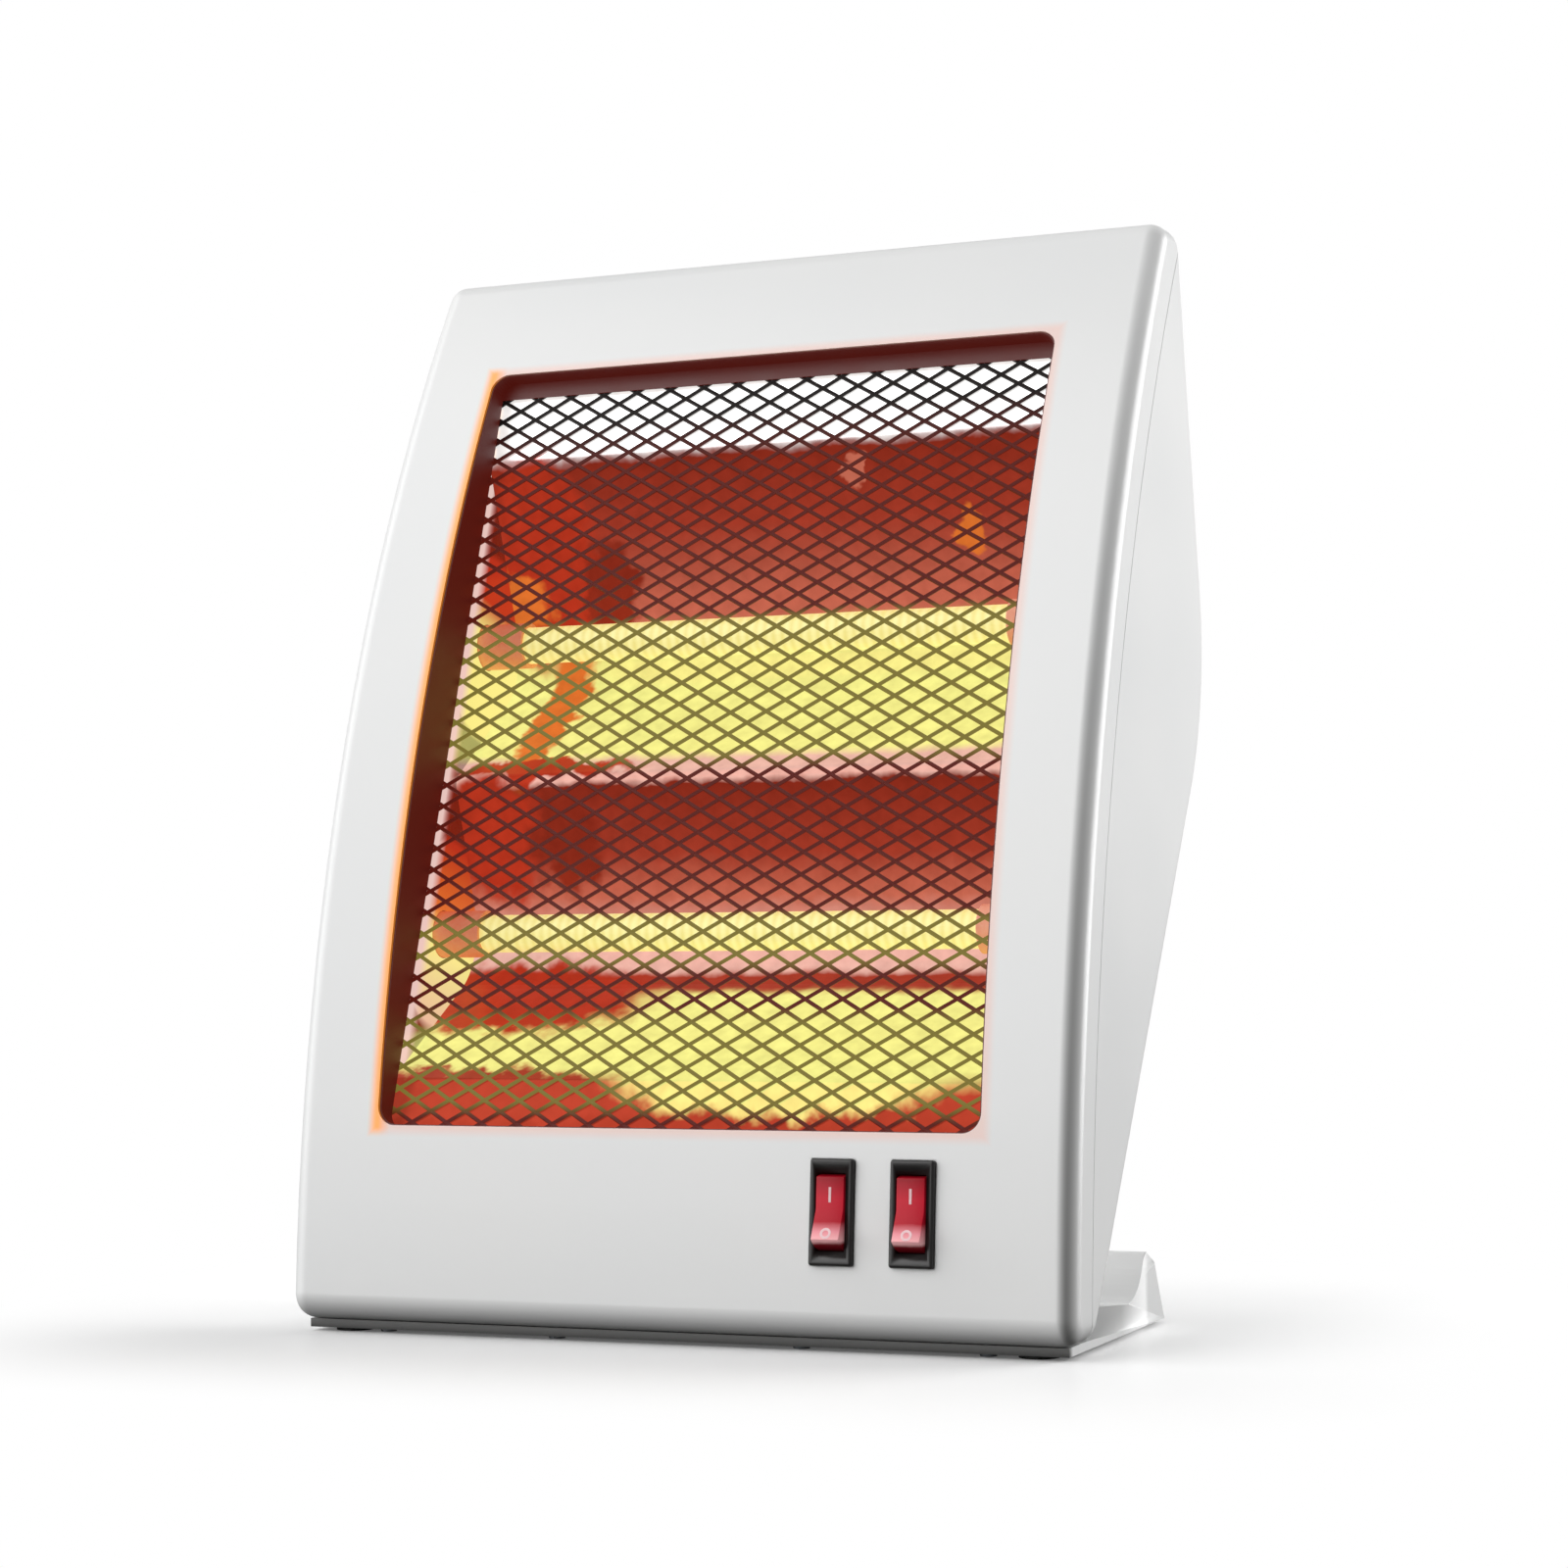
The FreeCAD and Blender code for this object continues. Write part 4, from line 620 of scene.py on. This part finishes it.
for side in (-1, 1):
    bar_size = add(made, "ShaderNodeCombineXYZ",
                   {"X": strand_length, "Y": size["Strand"], "Z": size["Thickness"]})
    bar = add(made, "GeometryNodeMeshCube", {"Size": bar_size})
    turned = add(made, "GeometryNodeTransform",
                 {"Geometry": bar, "Rotation": Euler((side * STRAND_TWIST, 0, side * strand_angle))})
    connect(made, knot, {"Geometry": turned})
woven = add(made, "GeometryNodeInstanceOnPoints", {"Points": lattice, "Instance": knot})
loop = add(made, "GeometryNodeCurvePrimitiveQuadrilateral")
for total in ("Width", "Height"):
    middle_line = add(made, "ShaderNodeMath", {0: size[total], 1: size["Border"]}, operation="SUBTRACT")
    connect(made, loop, {total: middle_line})
strip = add(made, "GeometryNodeCurvePrimitiveQuadrilateral",
            {"Width": size["Border"], "Height": size["Thickness"]})
border = add(made, "GeometryNodeCurveToMesh", {"Curve": loop, "Profile Curve": strip})
sheet = add(made, "GeometryNodeJoinGeometry")
for shape in (border, woven):
    connect(made, sheet, {"Geometry": shape})
stood = add(made, "GeometryNodeTransform",
            {"Geometry": sheet, "Translation": guard_centre, "Rotation": panel_turn})
guard = grown("expanded_guard", made, identifiers, guard_sizes, stood, enamel)
settle(guard, None, "black_enamelled_steel", "heater", "guard_mesh")

# Reflector. Thin polished aluminium sheet bent into two troughs between flat lips. Plates at its ends are
# screwed to the front cover by tabs. Its upper lip carries a painted white reflection of the room; the
# troughs carry painted reflections of the elements, in bands of yellow, rose and deep red.
# Colours of the painted reflections; BARE_GREY is the bare metal.
LIP_WHITE, BARE_GREY = "#F3F1EE", "#B4B4B6"
YELLOW, ORANGE, ROSE = "#F8F890", "#E0742E", "#EDBBAC"
SALMON, RED, EMBER, DARK_EMBER = "#C46A54", "#B4341E", "#A43A28", "#882A1A"
LIP_START, LIP_FULL = 99.0, 102.0
PAINTED_TROUGH_BANDS = ((-134, DARK_EMBER), (-115, EMBER), (-108, YELLOW), (-75, YELLOW), (-72, EMBER), (-67, EMBER),
                (-64.5, ROSE), (-55, ROSE), (-42, SALMON), (-30, EMBER), (-11.5, DARK_EMBER), (-9.5, ROSE),
                (-2, ROSE), (2, YELLOW), (46, YELLOW), (56, SALMON), (80, EMBER), (LIP_START, DARK_EMBER),
                (LIP_FULL, LIP_WHITE), (134, LIP_WHITE))
PAINTED_PATCHES = (((-78, -77), (44, 14), RED), ((-70, -117), (62, 8), EMBER), ((30, -111), (48, 11), YELLOW),
           ((-84, 72), (18, 28), RED), ((-78, 20), (7, 26), ORANGE), ((-88, -25), (16, 16), RED),
           ((-70, -4), (30, 4), RED), ((28, 92), (3, 4), SALMON), ((66, 76), (4, 5), ORANGE),
           ((-62, 66), (9, 12), DARK_EMBER), ((-96, 62), (9, 9), ORANGE), ((-62, -28), (12, 12), DARK_EMBER))
PATCH_FULL, PATCH_END = 0.85, 1.3
ENDLESS = 1000
WAVE = 2.5
STIR = 16
SHEET_WAVES = 9 * mm
MOTTLE = 5 * mm
LEAST_FLICKER = 0.82
LEAST_FACING = 0.05


def lit_from(piece, direction):
    """Marks the faces of a piece that face the elements, where its material carries painted light."""
    marks = piece.data.attributes.new("lit_side", "FLOAT", "FACE")
    for face in piece.data.polygons:
        marks.data[face.index].value = float(face.normal.dot(direction) > LEAST_FACING)
    return piece


# Polished aluminium behind lit elements: a mirror with painted reflections of the elements in its troughs,
# in bands and oval patches that the faint waves of the rolled sheet break up, over a red-brown base that
# stands in for their light; the upper lip is bare grey with a painted white reflection.
polished, tree, shader, place = finish_named("Polished aluminium with painted reflections")
rolled = add(tree, "ShaderNodeTexNoise", {"Vector": place, "Scale": 1 / SHEET_WAVES, "Detail": 3.0})
soft = add(tree, "ShaderNodeMapRange", {"Value": rolled.outputs["Fac"], "To Min": 0.22, "To Max": 0.36})
connect(tree, shader, {"Metallic": 1.0, "Roughness": soft})
where = on_panel(tree, place)
wave = add(tree, "ShaderNodeMapRange", {"Value": rolled.outputs["Fac"], "To Min": -WAVE, "To Max": WAVE})
height = add(tree, "ShaderNodeSeparateXYZ", {0: where})
waved = add(tree, "ShaderNodeMath", {0: height.outputs["Y"], 1: wave}, operation="ADD")
painted_reflection = banded(tree, waved, PAINTED_TROUGH_BANDS)
stir = add(tree, "ShaderNodeVectorMath",
           {0: rolled.outputs["Color"], 1: (STIR, STIR, STIR), 2: (-STIR / 2, -STIR / 2, -STIR / 2)},
           operation="MULTIPLY_ADD")
stirred = add(tree, "ShaderNodeVectorMath", {0: where, 1: stir}, operation="ADD")
for centre, radii, colour in PAINTED_PATCHES:
    oval = add(tree, "ShaderNodeMapping",
               {"Vector": stirred, "Location": (*centre, 0), "Scale": (*radii, ENDLESS)},
               vector_type="TEXTURE")
    reach = add(tree, "ShaderNodeVectorMath", {0: oval}, operation="LENGTH")
    inside = add(tree, "ShaderNodeMapRange",
                 {"Value": reach.outputs["Value"], "From Min": PATCH_FULL, "From Max": PATCH_END,
                  "To Min": 1.0, "To Max": 0.0}, interpolation_type="SMOOTHSTEP")
    patched = add(tree, "ShaderNodeMix", {0: inside, 6: painted_reflection, 7: colour}, data_type="RGBA")
    painted_reflection = patched.outputs[2]
connect(tree, shader, {"Emission Color": painted_reflection})
mottle = add(tree, "ShaderNodeTexNoise", {"Vector": place, "Scale": 1 / MOTTLE, "Detail": 4.0})
flicker = add(tree, "ShaderNodeMapRange",
              {"Value": mottle.outputs["Fac"], "From Min": 0.3, "From Max": 0.7, "To Min": LEAST_FLICKER,
               "To Max": 1.0})
lit_side = add(tree, "ShaderNodeAttribute", attribute_name="lit_side").outputs["Fac"]
painted_reflection_strength = add(tree, "ShaderNodeMath", {0: flicker, 1: lit_side}, operation="MULTIPLY")
connect(tree, shader, {"Emission Strength": painted_reflection_strength})
in_lip = add(tree, "ShaderNodeMapRange",
             {"Value": height.outputs["Y"], "From Min": LIP_START, "From Max": LIP_FULL})
untinted = add(tree, "ShaderNodeMath", {0: 1.0, 1: lit_side}, operation="SUBTRACT")
plain = add(tree, "ShaderNodeMath", {0: in_lip, 1: untinted}, operation="MAXIMUM")
# A red-brown base under the painted reflections, bare grey on the lip and at the back.
base = add(tree, "ShaderNodeMix", {0: plain, 6: "#4A150C", 7: BARE_GREY}, data_type="RGBA")
connect(tree, shader, {"Base Color": base.outputs[2]})
trough_sheet = lit_from(smooth_copy("reflector"), panel_turn.to_matrix() @ Vector((0, 0, 1)))
settle(trough_sheet, polished, "polished_aluminium", "heater", "reflector")
# The end plates carry painted light: a pale painted daylight near the guard, and a painted rose, yellow,
# orange and red glow of the elements deeper in. Only what lies round the tubes or near the guard is painted,
# to keep the glow away from the vents at the back.
PAINTED_DAYLIGHT = "#EBD2CA"
PAINTED_PLATE_ROWS = ((-120, PAINTED_DAYLIGHT), (-95, ROSE), (-62, YELLOW), (-52, ORANGE), (-30, RED), (-6, RED), (4, YELLOW),
              (44, YELLOW), (56, RED), (120, RED))
DAYLIGHT_END, DAYLIGHT_FULL = -11.0, -6.0
LIT_REACH = 30
LIT_EDGE = 1.1
PLATE_WAVES = 7 * mm
PLATE_GLOW = 0.85
plates, tree, shader, place = finish_named("Aluminium end plate with painted light")
rolled = add(tree, "ShaderNodeTexNoise", {"Vector": place, "Scale": 1 / PLATE_WAVES, "Detail": 3.0})
soft = add(tree, "ShaderNodeMapRange", {"Value": rolled.outputs["Fac"], "To Min": 0.2, "To Max": 0.38})
connect(tree, shader, {"Metallic": 1.0, "Roughness": soft})
where = on_panel(tree, place)
measured = add(tree, "ShaderNodeSeparateXYZ", {0: where})
painted_rows = banded(tree, measured.outputs["Y"], PAINTED_PLATE_ROWS)
shallow = add(tree, "ShaderNodeMapRange",
              {"Value": measured.outputs["Z"], "From Min": DAYLIGHT_END, "From Max": DAYLIGHT_FULL})
painted_daylight = add(tree, "ShaderNodeMix", {0: shallow, 6: painted_rows, 7: PAINTED_DAYLIGHT}, data_type="RGBA")
connect(tree, shader, {"Emission Color": painted_daylight.outputs[2]})
before_sheet = shallow
for level in ("upper", "lower"):
    tube_low, tube_high = corners("quartz_tube_" + level)
    axis = stand_up.inverted() @ ((tube_low + tube_high) / 2) / mm
    round_tube = add(tree, "ShaderNodeMapping",
                     {"Vector": where, "Location": (0, axis.y, axis.z),
                      "Scale": (ENDLESS, LIT_REACH, LIT_REACH)}, vector_type="TEXTURE")
    reach = add(tree, "ShaderNodeVectorMath", {0: round_tube}, operation="LENGTH")
    reached = add(tree, "ShaderNodeMapRange",
                  {"Value": reach.outputs["Value"], "From Min": 1.0, "From Max": LIT_EDGE, "To Min": 1.0,
                   "To Max": 0.0})
    before_sheet = add(tree, "ShaderNodeMath", {0: before_sheet, 1: reached}, operation="MAXIMUM")
lit_side = add(tree, "ShaderNodeAttribute", attribute_name="lit_side").outputs["Fac"]
lit = add(tree, "ShaderNodeMath", {0: lit_side, 1: before_sheet}, operation="MULTIPLY")
# The parts with painted light take a red-brown base under it.
base = add(tree, "ShaderNodeMix", {0: lit, 6: BARE_GREY, 7: "#7A3A2C"}, data_type="RGBA")
strength = add(tree, "ShaderNodeMath", {0: lit, 1: PLATE_GLOW}, operation="MULTIPLY")
connect(tree, shader, {"Base Color": base.outputs[2], "Emission Strength": strength})
for name, inward in (("reflector_end_left", Vector((1, 0, 0))), ("reflector_end_right", Vector((-1, 0, 0)))):
    settle(lit_from(smooth_copy(name), inward), plates, "polished_aluminium", "heater", name)
settle(smooth_copy("reflector_screws"), zinc, "zinc_plated_steel", "heater", "reflector_screws")

# Elements. Two milky quartz tubes, each round a wound resistance wire and held at both ends in a steatite
# cap with a brass stud; spring collars lock the caps in the end plates.
COIL_TURNS = 62
COIL_WIRE = 0.6 * mm
COIL_RADIUS = 3.8 * mm
WIRE_GLOW = 1.2
QUARTZ_GLOW = 0.62
QUARTZ_CLEAR_SHARE = 0.2
CAP_GLOW = 0.55
# Lit wire: white-hot, so it reads as pale yellow light.
hot_wire, tree, shader, place = grained(
    "Glowing resistance wire", grain=9 * mm, detail=2.0, colours=("#5A4A40", "#7A6658"), roughness=(0.4, 0.6),
    relief=0.01 * mm)
connect(tree, shader, {"Emission Color": "#FFF2B8", "Emission Strength": WIRE_GLOW})
# Milky quartz: fused silica clouded by fine bubbles, which spreads the light of the coil into soft bands,
# one to a turn.
quartz, tree, shader, place = finish_named("Lit milky quartz")
measured = add(tree, "ShaderNodeSeparateXYZ", {0: on_panel(tree, place)})
tube_low, tube_high = corners("quartz_tube_upper")
turn_pitch = (tube_high.x - tube_low.x) / mm / COIL_TURNS
phase = add(tree, "ShaderNodeMath",
            {0: measured.outputs["X"], 1: 2 * math.pi / turn_pitch}, operation="MULTIPLY")
swing = add(tree, "ShaderNodeMath", {0: phase}, operation="SINE")
band = add(tree, "ShaderNodeMapRange", {"Value": swing, "From Min": -1.0})
surface(tree, shader, band, colours=("#C8BE84", "#D6CE9A"), roughness=(0.3, 0.4), relief=0.005 * mm)
lit = add(tree, "ShaderNodeMix", {0: band, 6: "#EFE68C", 7: "#F3EEA6"}, data_type="RGBA")
connect(tree, shader, {"Emission Color": lit.outputs[2], "Emission Strength": QUARTZ_GLOW})
clear = add(tree, "ShaderNodeBsdfTransparent")
veil = add(tree, "ShaderNodeMixShader", {0: QUARTZ_CLEAR_SHARE, 1: shader, 2: clear})
connect(tree, tree.nodes["Material Output"], {"Surface": veil})
for level in ("upper", "lower"):
    tube_low, tube_high = corners("quartz_tube_" + level)
    settle(smooth_copy("quartz_tube_" + level), quartz, "quartz_glass", "heater", "quartz_tube_" + level)
    tube_middle = (tube_low + tube_high) / 2
    coil_base = Vector((tube_low.x + COIL_WIRE, tube_middle.y, tube_middle.z))
    coil_length = tube_high.x - tube_low.x - 2 * COIL_WIRE
    coil = wound("coil_" + level, COIL_TURNS, COIL_RADIUS, COIL_WIRE, coil_length, coil_base,
                 Euler((0, math.pi / 2, 0)), hot_wire)
    settle(coil, None, "resistance_wire", "heater", "heating_coil_" + level)
# Steatite: cream ceramic, matt and slightly pitted, with a painted red glow that stands in for the tubes'
# light.
steatite, tree, shader, place = grained(
    "Fired steatite with painted glow", grain=1.2 * mm, detail=4.0, colours=("#C9A88C", "#E4D2BC"),
    roughness=(0.55, 0.75), relief=0.04 * mm)
connect(tree, shader, {"Emission Color": "#D0461E", "Emission Strength": CAP_GLOW})
for level in ("upper", "lower"):
    for side in ("left", "right"):
        name = "ceramic_cap_" + level + "_" + side
        settle(smooth_copy(name), steatite, "steatite_ceramic", "heater", name)
settle(smooth_copy("cap_retainers"), spring_steel, "spring_steel", "heater", "cap_retainers")
# Brass: warm yellow metal, dulled unevenly by handling and heat.
brass, tree, shader, place = grained(
    "Stamped brass", grain=3 * mm, detail=3.0, colours=("#A8823E", "#D0AC62"), roughness=(0.24, 0.42),
    relief=0.01 * mm)
connect(tree, shader, {"Metallic": 1.0})
settle(smooth_copy("tube_terminals"), brass, "brass", "heater", "tube_terminals")

# Thermal cut-out. A small phenolic disc thermostat against the back of the reflector's upper lip, where it
# would cut the current if the sheet grew too hot.
# Phenolic: brown-black, hard and dull, with a faint mottle of filler.
phenolic = grained("Moulded phenolic", grain=1.5 * mm, detail=3.0, colours=("#1E1512", "#33241E"),
                   roughness=(0.4, 0.55), relief=0.01 * mm)[0]
settle(smooth_copy("thermal_cutout"), phenolic, "black_phenolic", "heater", "thermal_cutout")

# Switches. Two black nylon housings snapped into the front cover, each with a red rocker on side pins.
# The rockers are moulded in translucent red and carry the usual printed bar and ring.
MARK_WIDTH = 0.75 * mm
MARK_LENGTH = 4.4 * mm
MARK_DEPTH = 0.12 * mm
MARK_PLACE = 5.4 * mm
RING_RADIUS = 1.7 * mm
RING_STEPS = 40
SOFT_EDGE = 0.45 * mm
SOFT_STEPS = 3
LEAST_TURN = 25.0
FLAT_TURN = 1.0
CLOUD = 6 * mm
CLOUD_DRIFT = 0.4 * mm
ROCKER_GLOW = 0.2
ROCKER_PAINTED_TONES = ((0.0, "#4E0410"), (0.1, "#6E0713"), (0.15, "#F0B2B4"), (0.27, "#E08C94"), (0.4, "#A80C22"),
                (0.7, "#B41028"), (1.0, "#860818"))
# Translucent red polycarbonate: deep ruby with a smooth skin and cloudy inside, with painted light and shade:
# a painted highlight makes it pale low on its face, painted shade darkens its foot and its top, and a weak
# painted glow lifts it all.
rocker_low, rocker_high = corners("rocker_left")
ruby, tree, shader, place = finish_named("Red translucent polycarbonate")
cloud = add(tree, "ShaderNodeTexNoise", {"Vector": place, "Scale": 1 / CLOUD, "Detail": 2.0})
gloss = add(tree, "ShaderNodeMapRange", {"Value": cloud.outputs["Fac"], "To Min": 0.26, "To Max": 0.38})
connect(tree, shader, {"IOR": 1.58, "Specular IOR Level": 0.12, "Roughness": gloss})
height = add(tree, "ShaderNodeSeparateXYZ", {0: place})
drift = add(tree, "ShaderNodeMapRange",
            {"Value": cloud.outputs["Fac"], "To Min": -CLOUD_DRIFT, "To Max": CLOUD_DRIFT})
clouded = add(tree, "ShaderNodeMath", {0: height.outputs["Z"], 1: drift}, operation="ADD")
rocker_height = rocker_high.z - rocker_low.z
tones = [(rocker_low.z + share * rocker_height, colour) for share, colour in ROCKER_PAINTED_TONES]
painted_tones = banded(tree, clouded, tones)
connect(tree, shader, {"Base Color": painted_tones, "Emission Color": painted_tones, "Emission Strength": ROCKER_GLOW})
# Printing ink: a flat pale pink-white, slightly worn.
ink = grained("Pale printing ink", grain=0.5 * mm, detail=3.0, colours=("#E8B4B8", "#F6DCDE"),
              roughness=(0.4, 0.6), relief=0.01 * mm)[0]


def softened(piece):
    """Rounds the hard edges of a copied piece."""
    form = bmesh.new()
    form.from_mesh(piece.data)
    bmesh.ops.dissolve_limit(form, angle_limit=math.radians(FLAT_TURN), verts=form.verts, edges=form.edges)
    hard = [edge for edge in form.edges
            if len(edge.link_faces) == 2 and edge.calc_face_angle() > math.radians(LEAST_TURN)]
    bmesh.ops.bevel(form, geom=hard, offset=SOFT_EDGE, segments=SOFT_STEPS, profile=0.5, affect="EDGES",
                    clamp_overlap=True)
    bmesh.ops.triangulate(form, faces=form.faces)
    form.to_mesh(piece.data)
    form.free()
    creased(piece)
    return piece


def resting_frame(skin, start):
    """A frame on the skin of a rocker, found from a place in front of it: sideways, up the skin and out."""
    spot_on, facing = skin.ray_cast(start, Vector((0, 1, 0)))[:2]
    sideways = Vector((0, 0, 1)).cross(facing).normalized()
    rest = Matrix((sideways, facing.cross(sideways), facing)).transposed().to_4x4()
    rest.translation = spot_on
    return rest


def bar_mark(form, rest):
    """A flat upright bar on a resting frame."""
    sides = Matrix.Diagonal((MARK_WIDTH, MARK_LENGTH, MARK_DEPTH, 1))
    bmesh.ops.create_cube(form, size=1.0, matrix=rest @ sides)


def ring_mark(form, rest):
    """A flat ring on a resting frame."""
    turns = [2 * math.pi * k / RING_STEPS for k in range(RING_STEPS)]
    inner, out = RING_RADIUS - MARK_WIDTH, MARK_DEPTH / 2
    circles = []
    for radius, level in ((RING_RADIUS, -out), (RING_RADIUS, out), (inner, out), (inner, -out)):
        points = [Vector((radius * math.cos(turn), radius * math.sin(turn), level)) for turn in turns]
        circles.append([form.verts.new(rest @ point) for point in points])
    for one, two in zip(circles, circles[1:] + circles[:1]):
        bridge(form, one, two)


for side in ("left", "right"):
    settle(smooth_copy("switch_body_" + side), nylon, "black_nylon", "heater", "switch_body_" + side)
    settle(smooth_copy("switch_terminals_" + side), brass, "brass", "heater", "switch_terminals_" + side)
    rocker = softened(smooth_copy("rocker_" + side))
    settle(rocker, ruby, "red_polycarbonate", "rocker_" + side, "rocker_" + side)
    rocker_low, rocker_high = corners("rocker_" + side)
    middle = (rocker_low + rocker_high) / 2
    form = bmesh.new()
    form.from_mesh(rocker.data)
    skin = BVHTree.FromBMesh(form)
    form.free()
    for kind, draw, height in (("bar", bar_mark, MARK_PLACE), ("ring", ring_mark, -MARK_PLACE)):
        form = bmesh.new()
        draw(form, resting_frame(skin, Vector((middle.x, rocker_low.y - MARK_LENGTH, middle.z + height))))
        bmesh.ops.recalc_face_normals(form, faces=form.faces)
        mark = made_from(form, "mark_%s_%s" % (kind, side))
        settle(mark, ink, "white_nylon", "rocker_" + side)

# Studio. A plain white floor in a white room, a broad soft sun from the front left and a lamp at the right
# rear. The room is darker to the heater than to the camera, so that the white ABS keeps its tones.
FLOOR_HALF = 15.0
FADE_NEAR = 5 * mm
FADE_FAR = 130 * mm
FRONT_LIFT, BACK_LIFT = 0.06, 0.32
HAZE = 200 * mm
form = bmesh.new()
bmesh.ops.create_grid(form, x_segments=1, y_segments=1, size=FLOOR_HALF)
floor = made_from(form, "floor")
# White laminate: plain white with soft shadows and a painted lift of light, stronger behind the heater than
# before it. It fades into the white of the room with distance, and throws little light back up at the heater.
laminate, tree, shader, place = finish_named("White laminate")
seen = add(tree, "ShaderNodeLightPath").outputs["Is Camera Ray"]
tint = add(tree, "ShaderNodeMix", {0: seen, 6: "#6A6A6A", 7: "#F8F8F8"}, data_type="RGBA")
haze = add(tree, "ShaderNodeTexNoise", {"Vector": place, "Scale": 1 / HAZE, "Detail": 1.0})
gloss = add(tree, "ShaderNodeMapRange", {"Value": haze.outputs["Fac"], "To Min": 0.28, "To Max": 0.36})
connect(tree, shader, {"Base Color": tint.outputs[2], "Roughness": gloss, "Specular IOR Level": 0.05})
depth = add(tree, "ShaderNodeSeparateXYZ", {0: place})
spread = add(tree, "ShaderNodeMapRange",
             {"Value": depth.outputs["Y"], "From Min": cad_low[1], "From Max": cad_high[1],
              "To Min": FRONT_LIFT, "To Max": BACK_LIFT})
painted_lift = add(tree, "ShaderNodeMath", {0: seen, 1: spread}, operation="MULTIPLY")
connect(tree, shader, {"Emission Strength": painted_lift})
folded = add(tree, "ShaderNodeVectorMath", {0: place}, operation="ABSOLUTE")
beyond = add(tree, "ShaderNodeVectorMath", {0: folded, 1: cad_high}, operation="SUBTRACT")
past = add(tree, "ShaderNodeVectorMath", {0: beyond, 1: (0, 0, 0)}, operation="MAXIMUM")
away = add(tree, "ShaderNodeVectorMath", {0: past}, operation="LENGTH")
far = add(tree, "ShaderNodeMapRange",
          {"Value": away.outputs["Value"], "From Min": FADE_NEAR, "From Max": FADE_FAR},
          interpolation_type="SMOOTHSTEP")
faded = add(tree, "ShaderNodeMath", {0: far, 1: seen}, operation="MULTIPLY")
white = add(tree, "ShaderNodeEmission", {"Color": (1, 1, 1, 1), "Strength": 1.0})
mixed = add(tree, "ShaderNodeMixShader", {0: faded, 1: shader, 2: white})
connect(tree, tree.nodes["Material Output"], {"Surface": mixed})
floor.data.materials.append(laminate)
key = bpy.data.lights.new("key", "SUN")
key.energy = 3.3
key.angle = math.radians(75)
rear = bpy.data.lights.new("right_rear", "AREA")
rear.energy = 14.5
rear.size = 0.9
for light, stands, aimed in ((key, (-0.70, -0.57, 0.43), (0, 0, 0)),
                             (rear, (1.0, 0.72, 0.45), (0.10, 0.0, 0.22))):
    lamp = linked(light.name, light)
    lamp.location = stands
    lamp.rotation_euler = (Vector(stands) - Vector(aimed)).to_track_quat("Z", "Y").to_euler()
world = bpy.data.worlds.new("White room")
bpy.context.scene.world = world
world.use_nodes = True
sky = world.node_tree
seen = add(sky, "ShaderNodeLightPath")
mirrored = add(sky, "ShaderNodeMapRange",
               {"Value": seen.outputs["Is Glossy Ray"], "To Min": 0.25, "To Max": 0.5})
level = add(sky, "ShaderNodeMath", {0: mirrored, 1: seen.outputs["Is Camera Ray"]}, operation="MAXIMUM")
connect(sky, sky.nodes["Background"], {"Color": (1, 1, 1, 1), "Strength": level})
# The camera stands where the photo's stood, as fitted to the heater's outline.
CAMERA_ASIDE = 416.565 * mm
CAMERA_BEFORE_COVER = 901.105 * mm
CAMERA_HEIGHT = 128.995 * mm
CAMERA_LOOK = (-0.38438, 0.92241, 0.03748)
CAMERA_UP = (0.02621, -0.02968, 0.99922)
camera_data = bpy.data.cameras.new("camera")
camera_data.sensor_width = 36.0
camera_data.lens = 76.73
camera_data.clip_end = 60.0
camera = linked("camera", camera_data)
camera.location = (CAMERA_ASIDE, cover_low.y - CAMERA_BEFORE_COVER, CAMERA_HEIGHT)
look = Vector(CAMERA_LOOK).normalized()
sideways = look.cross(Vector(CAMERA_UP)).normalized()
camera.rotation_euler = Matrix((sideways, sideways.cross(look), -look)).transposed().to_euler()
bpy.context.scene.camera = camera
bpy.context.scene.view_settings.view_transform = "Standard"
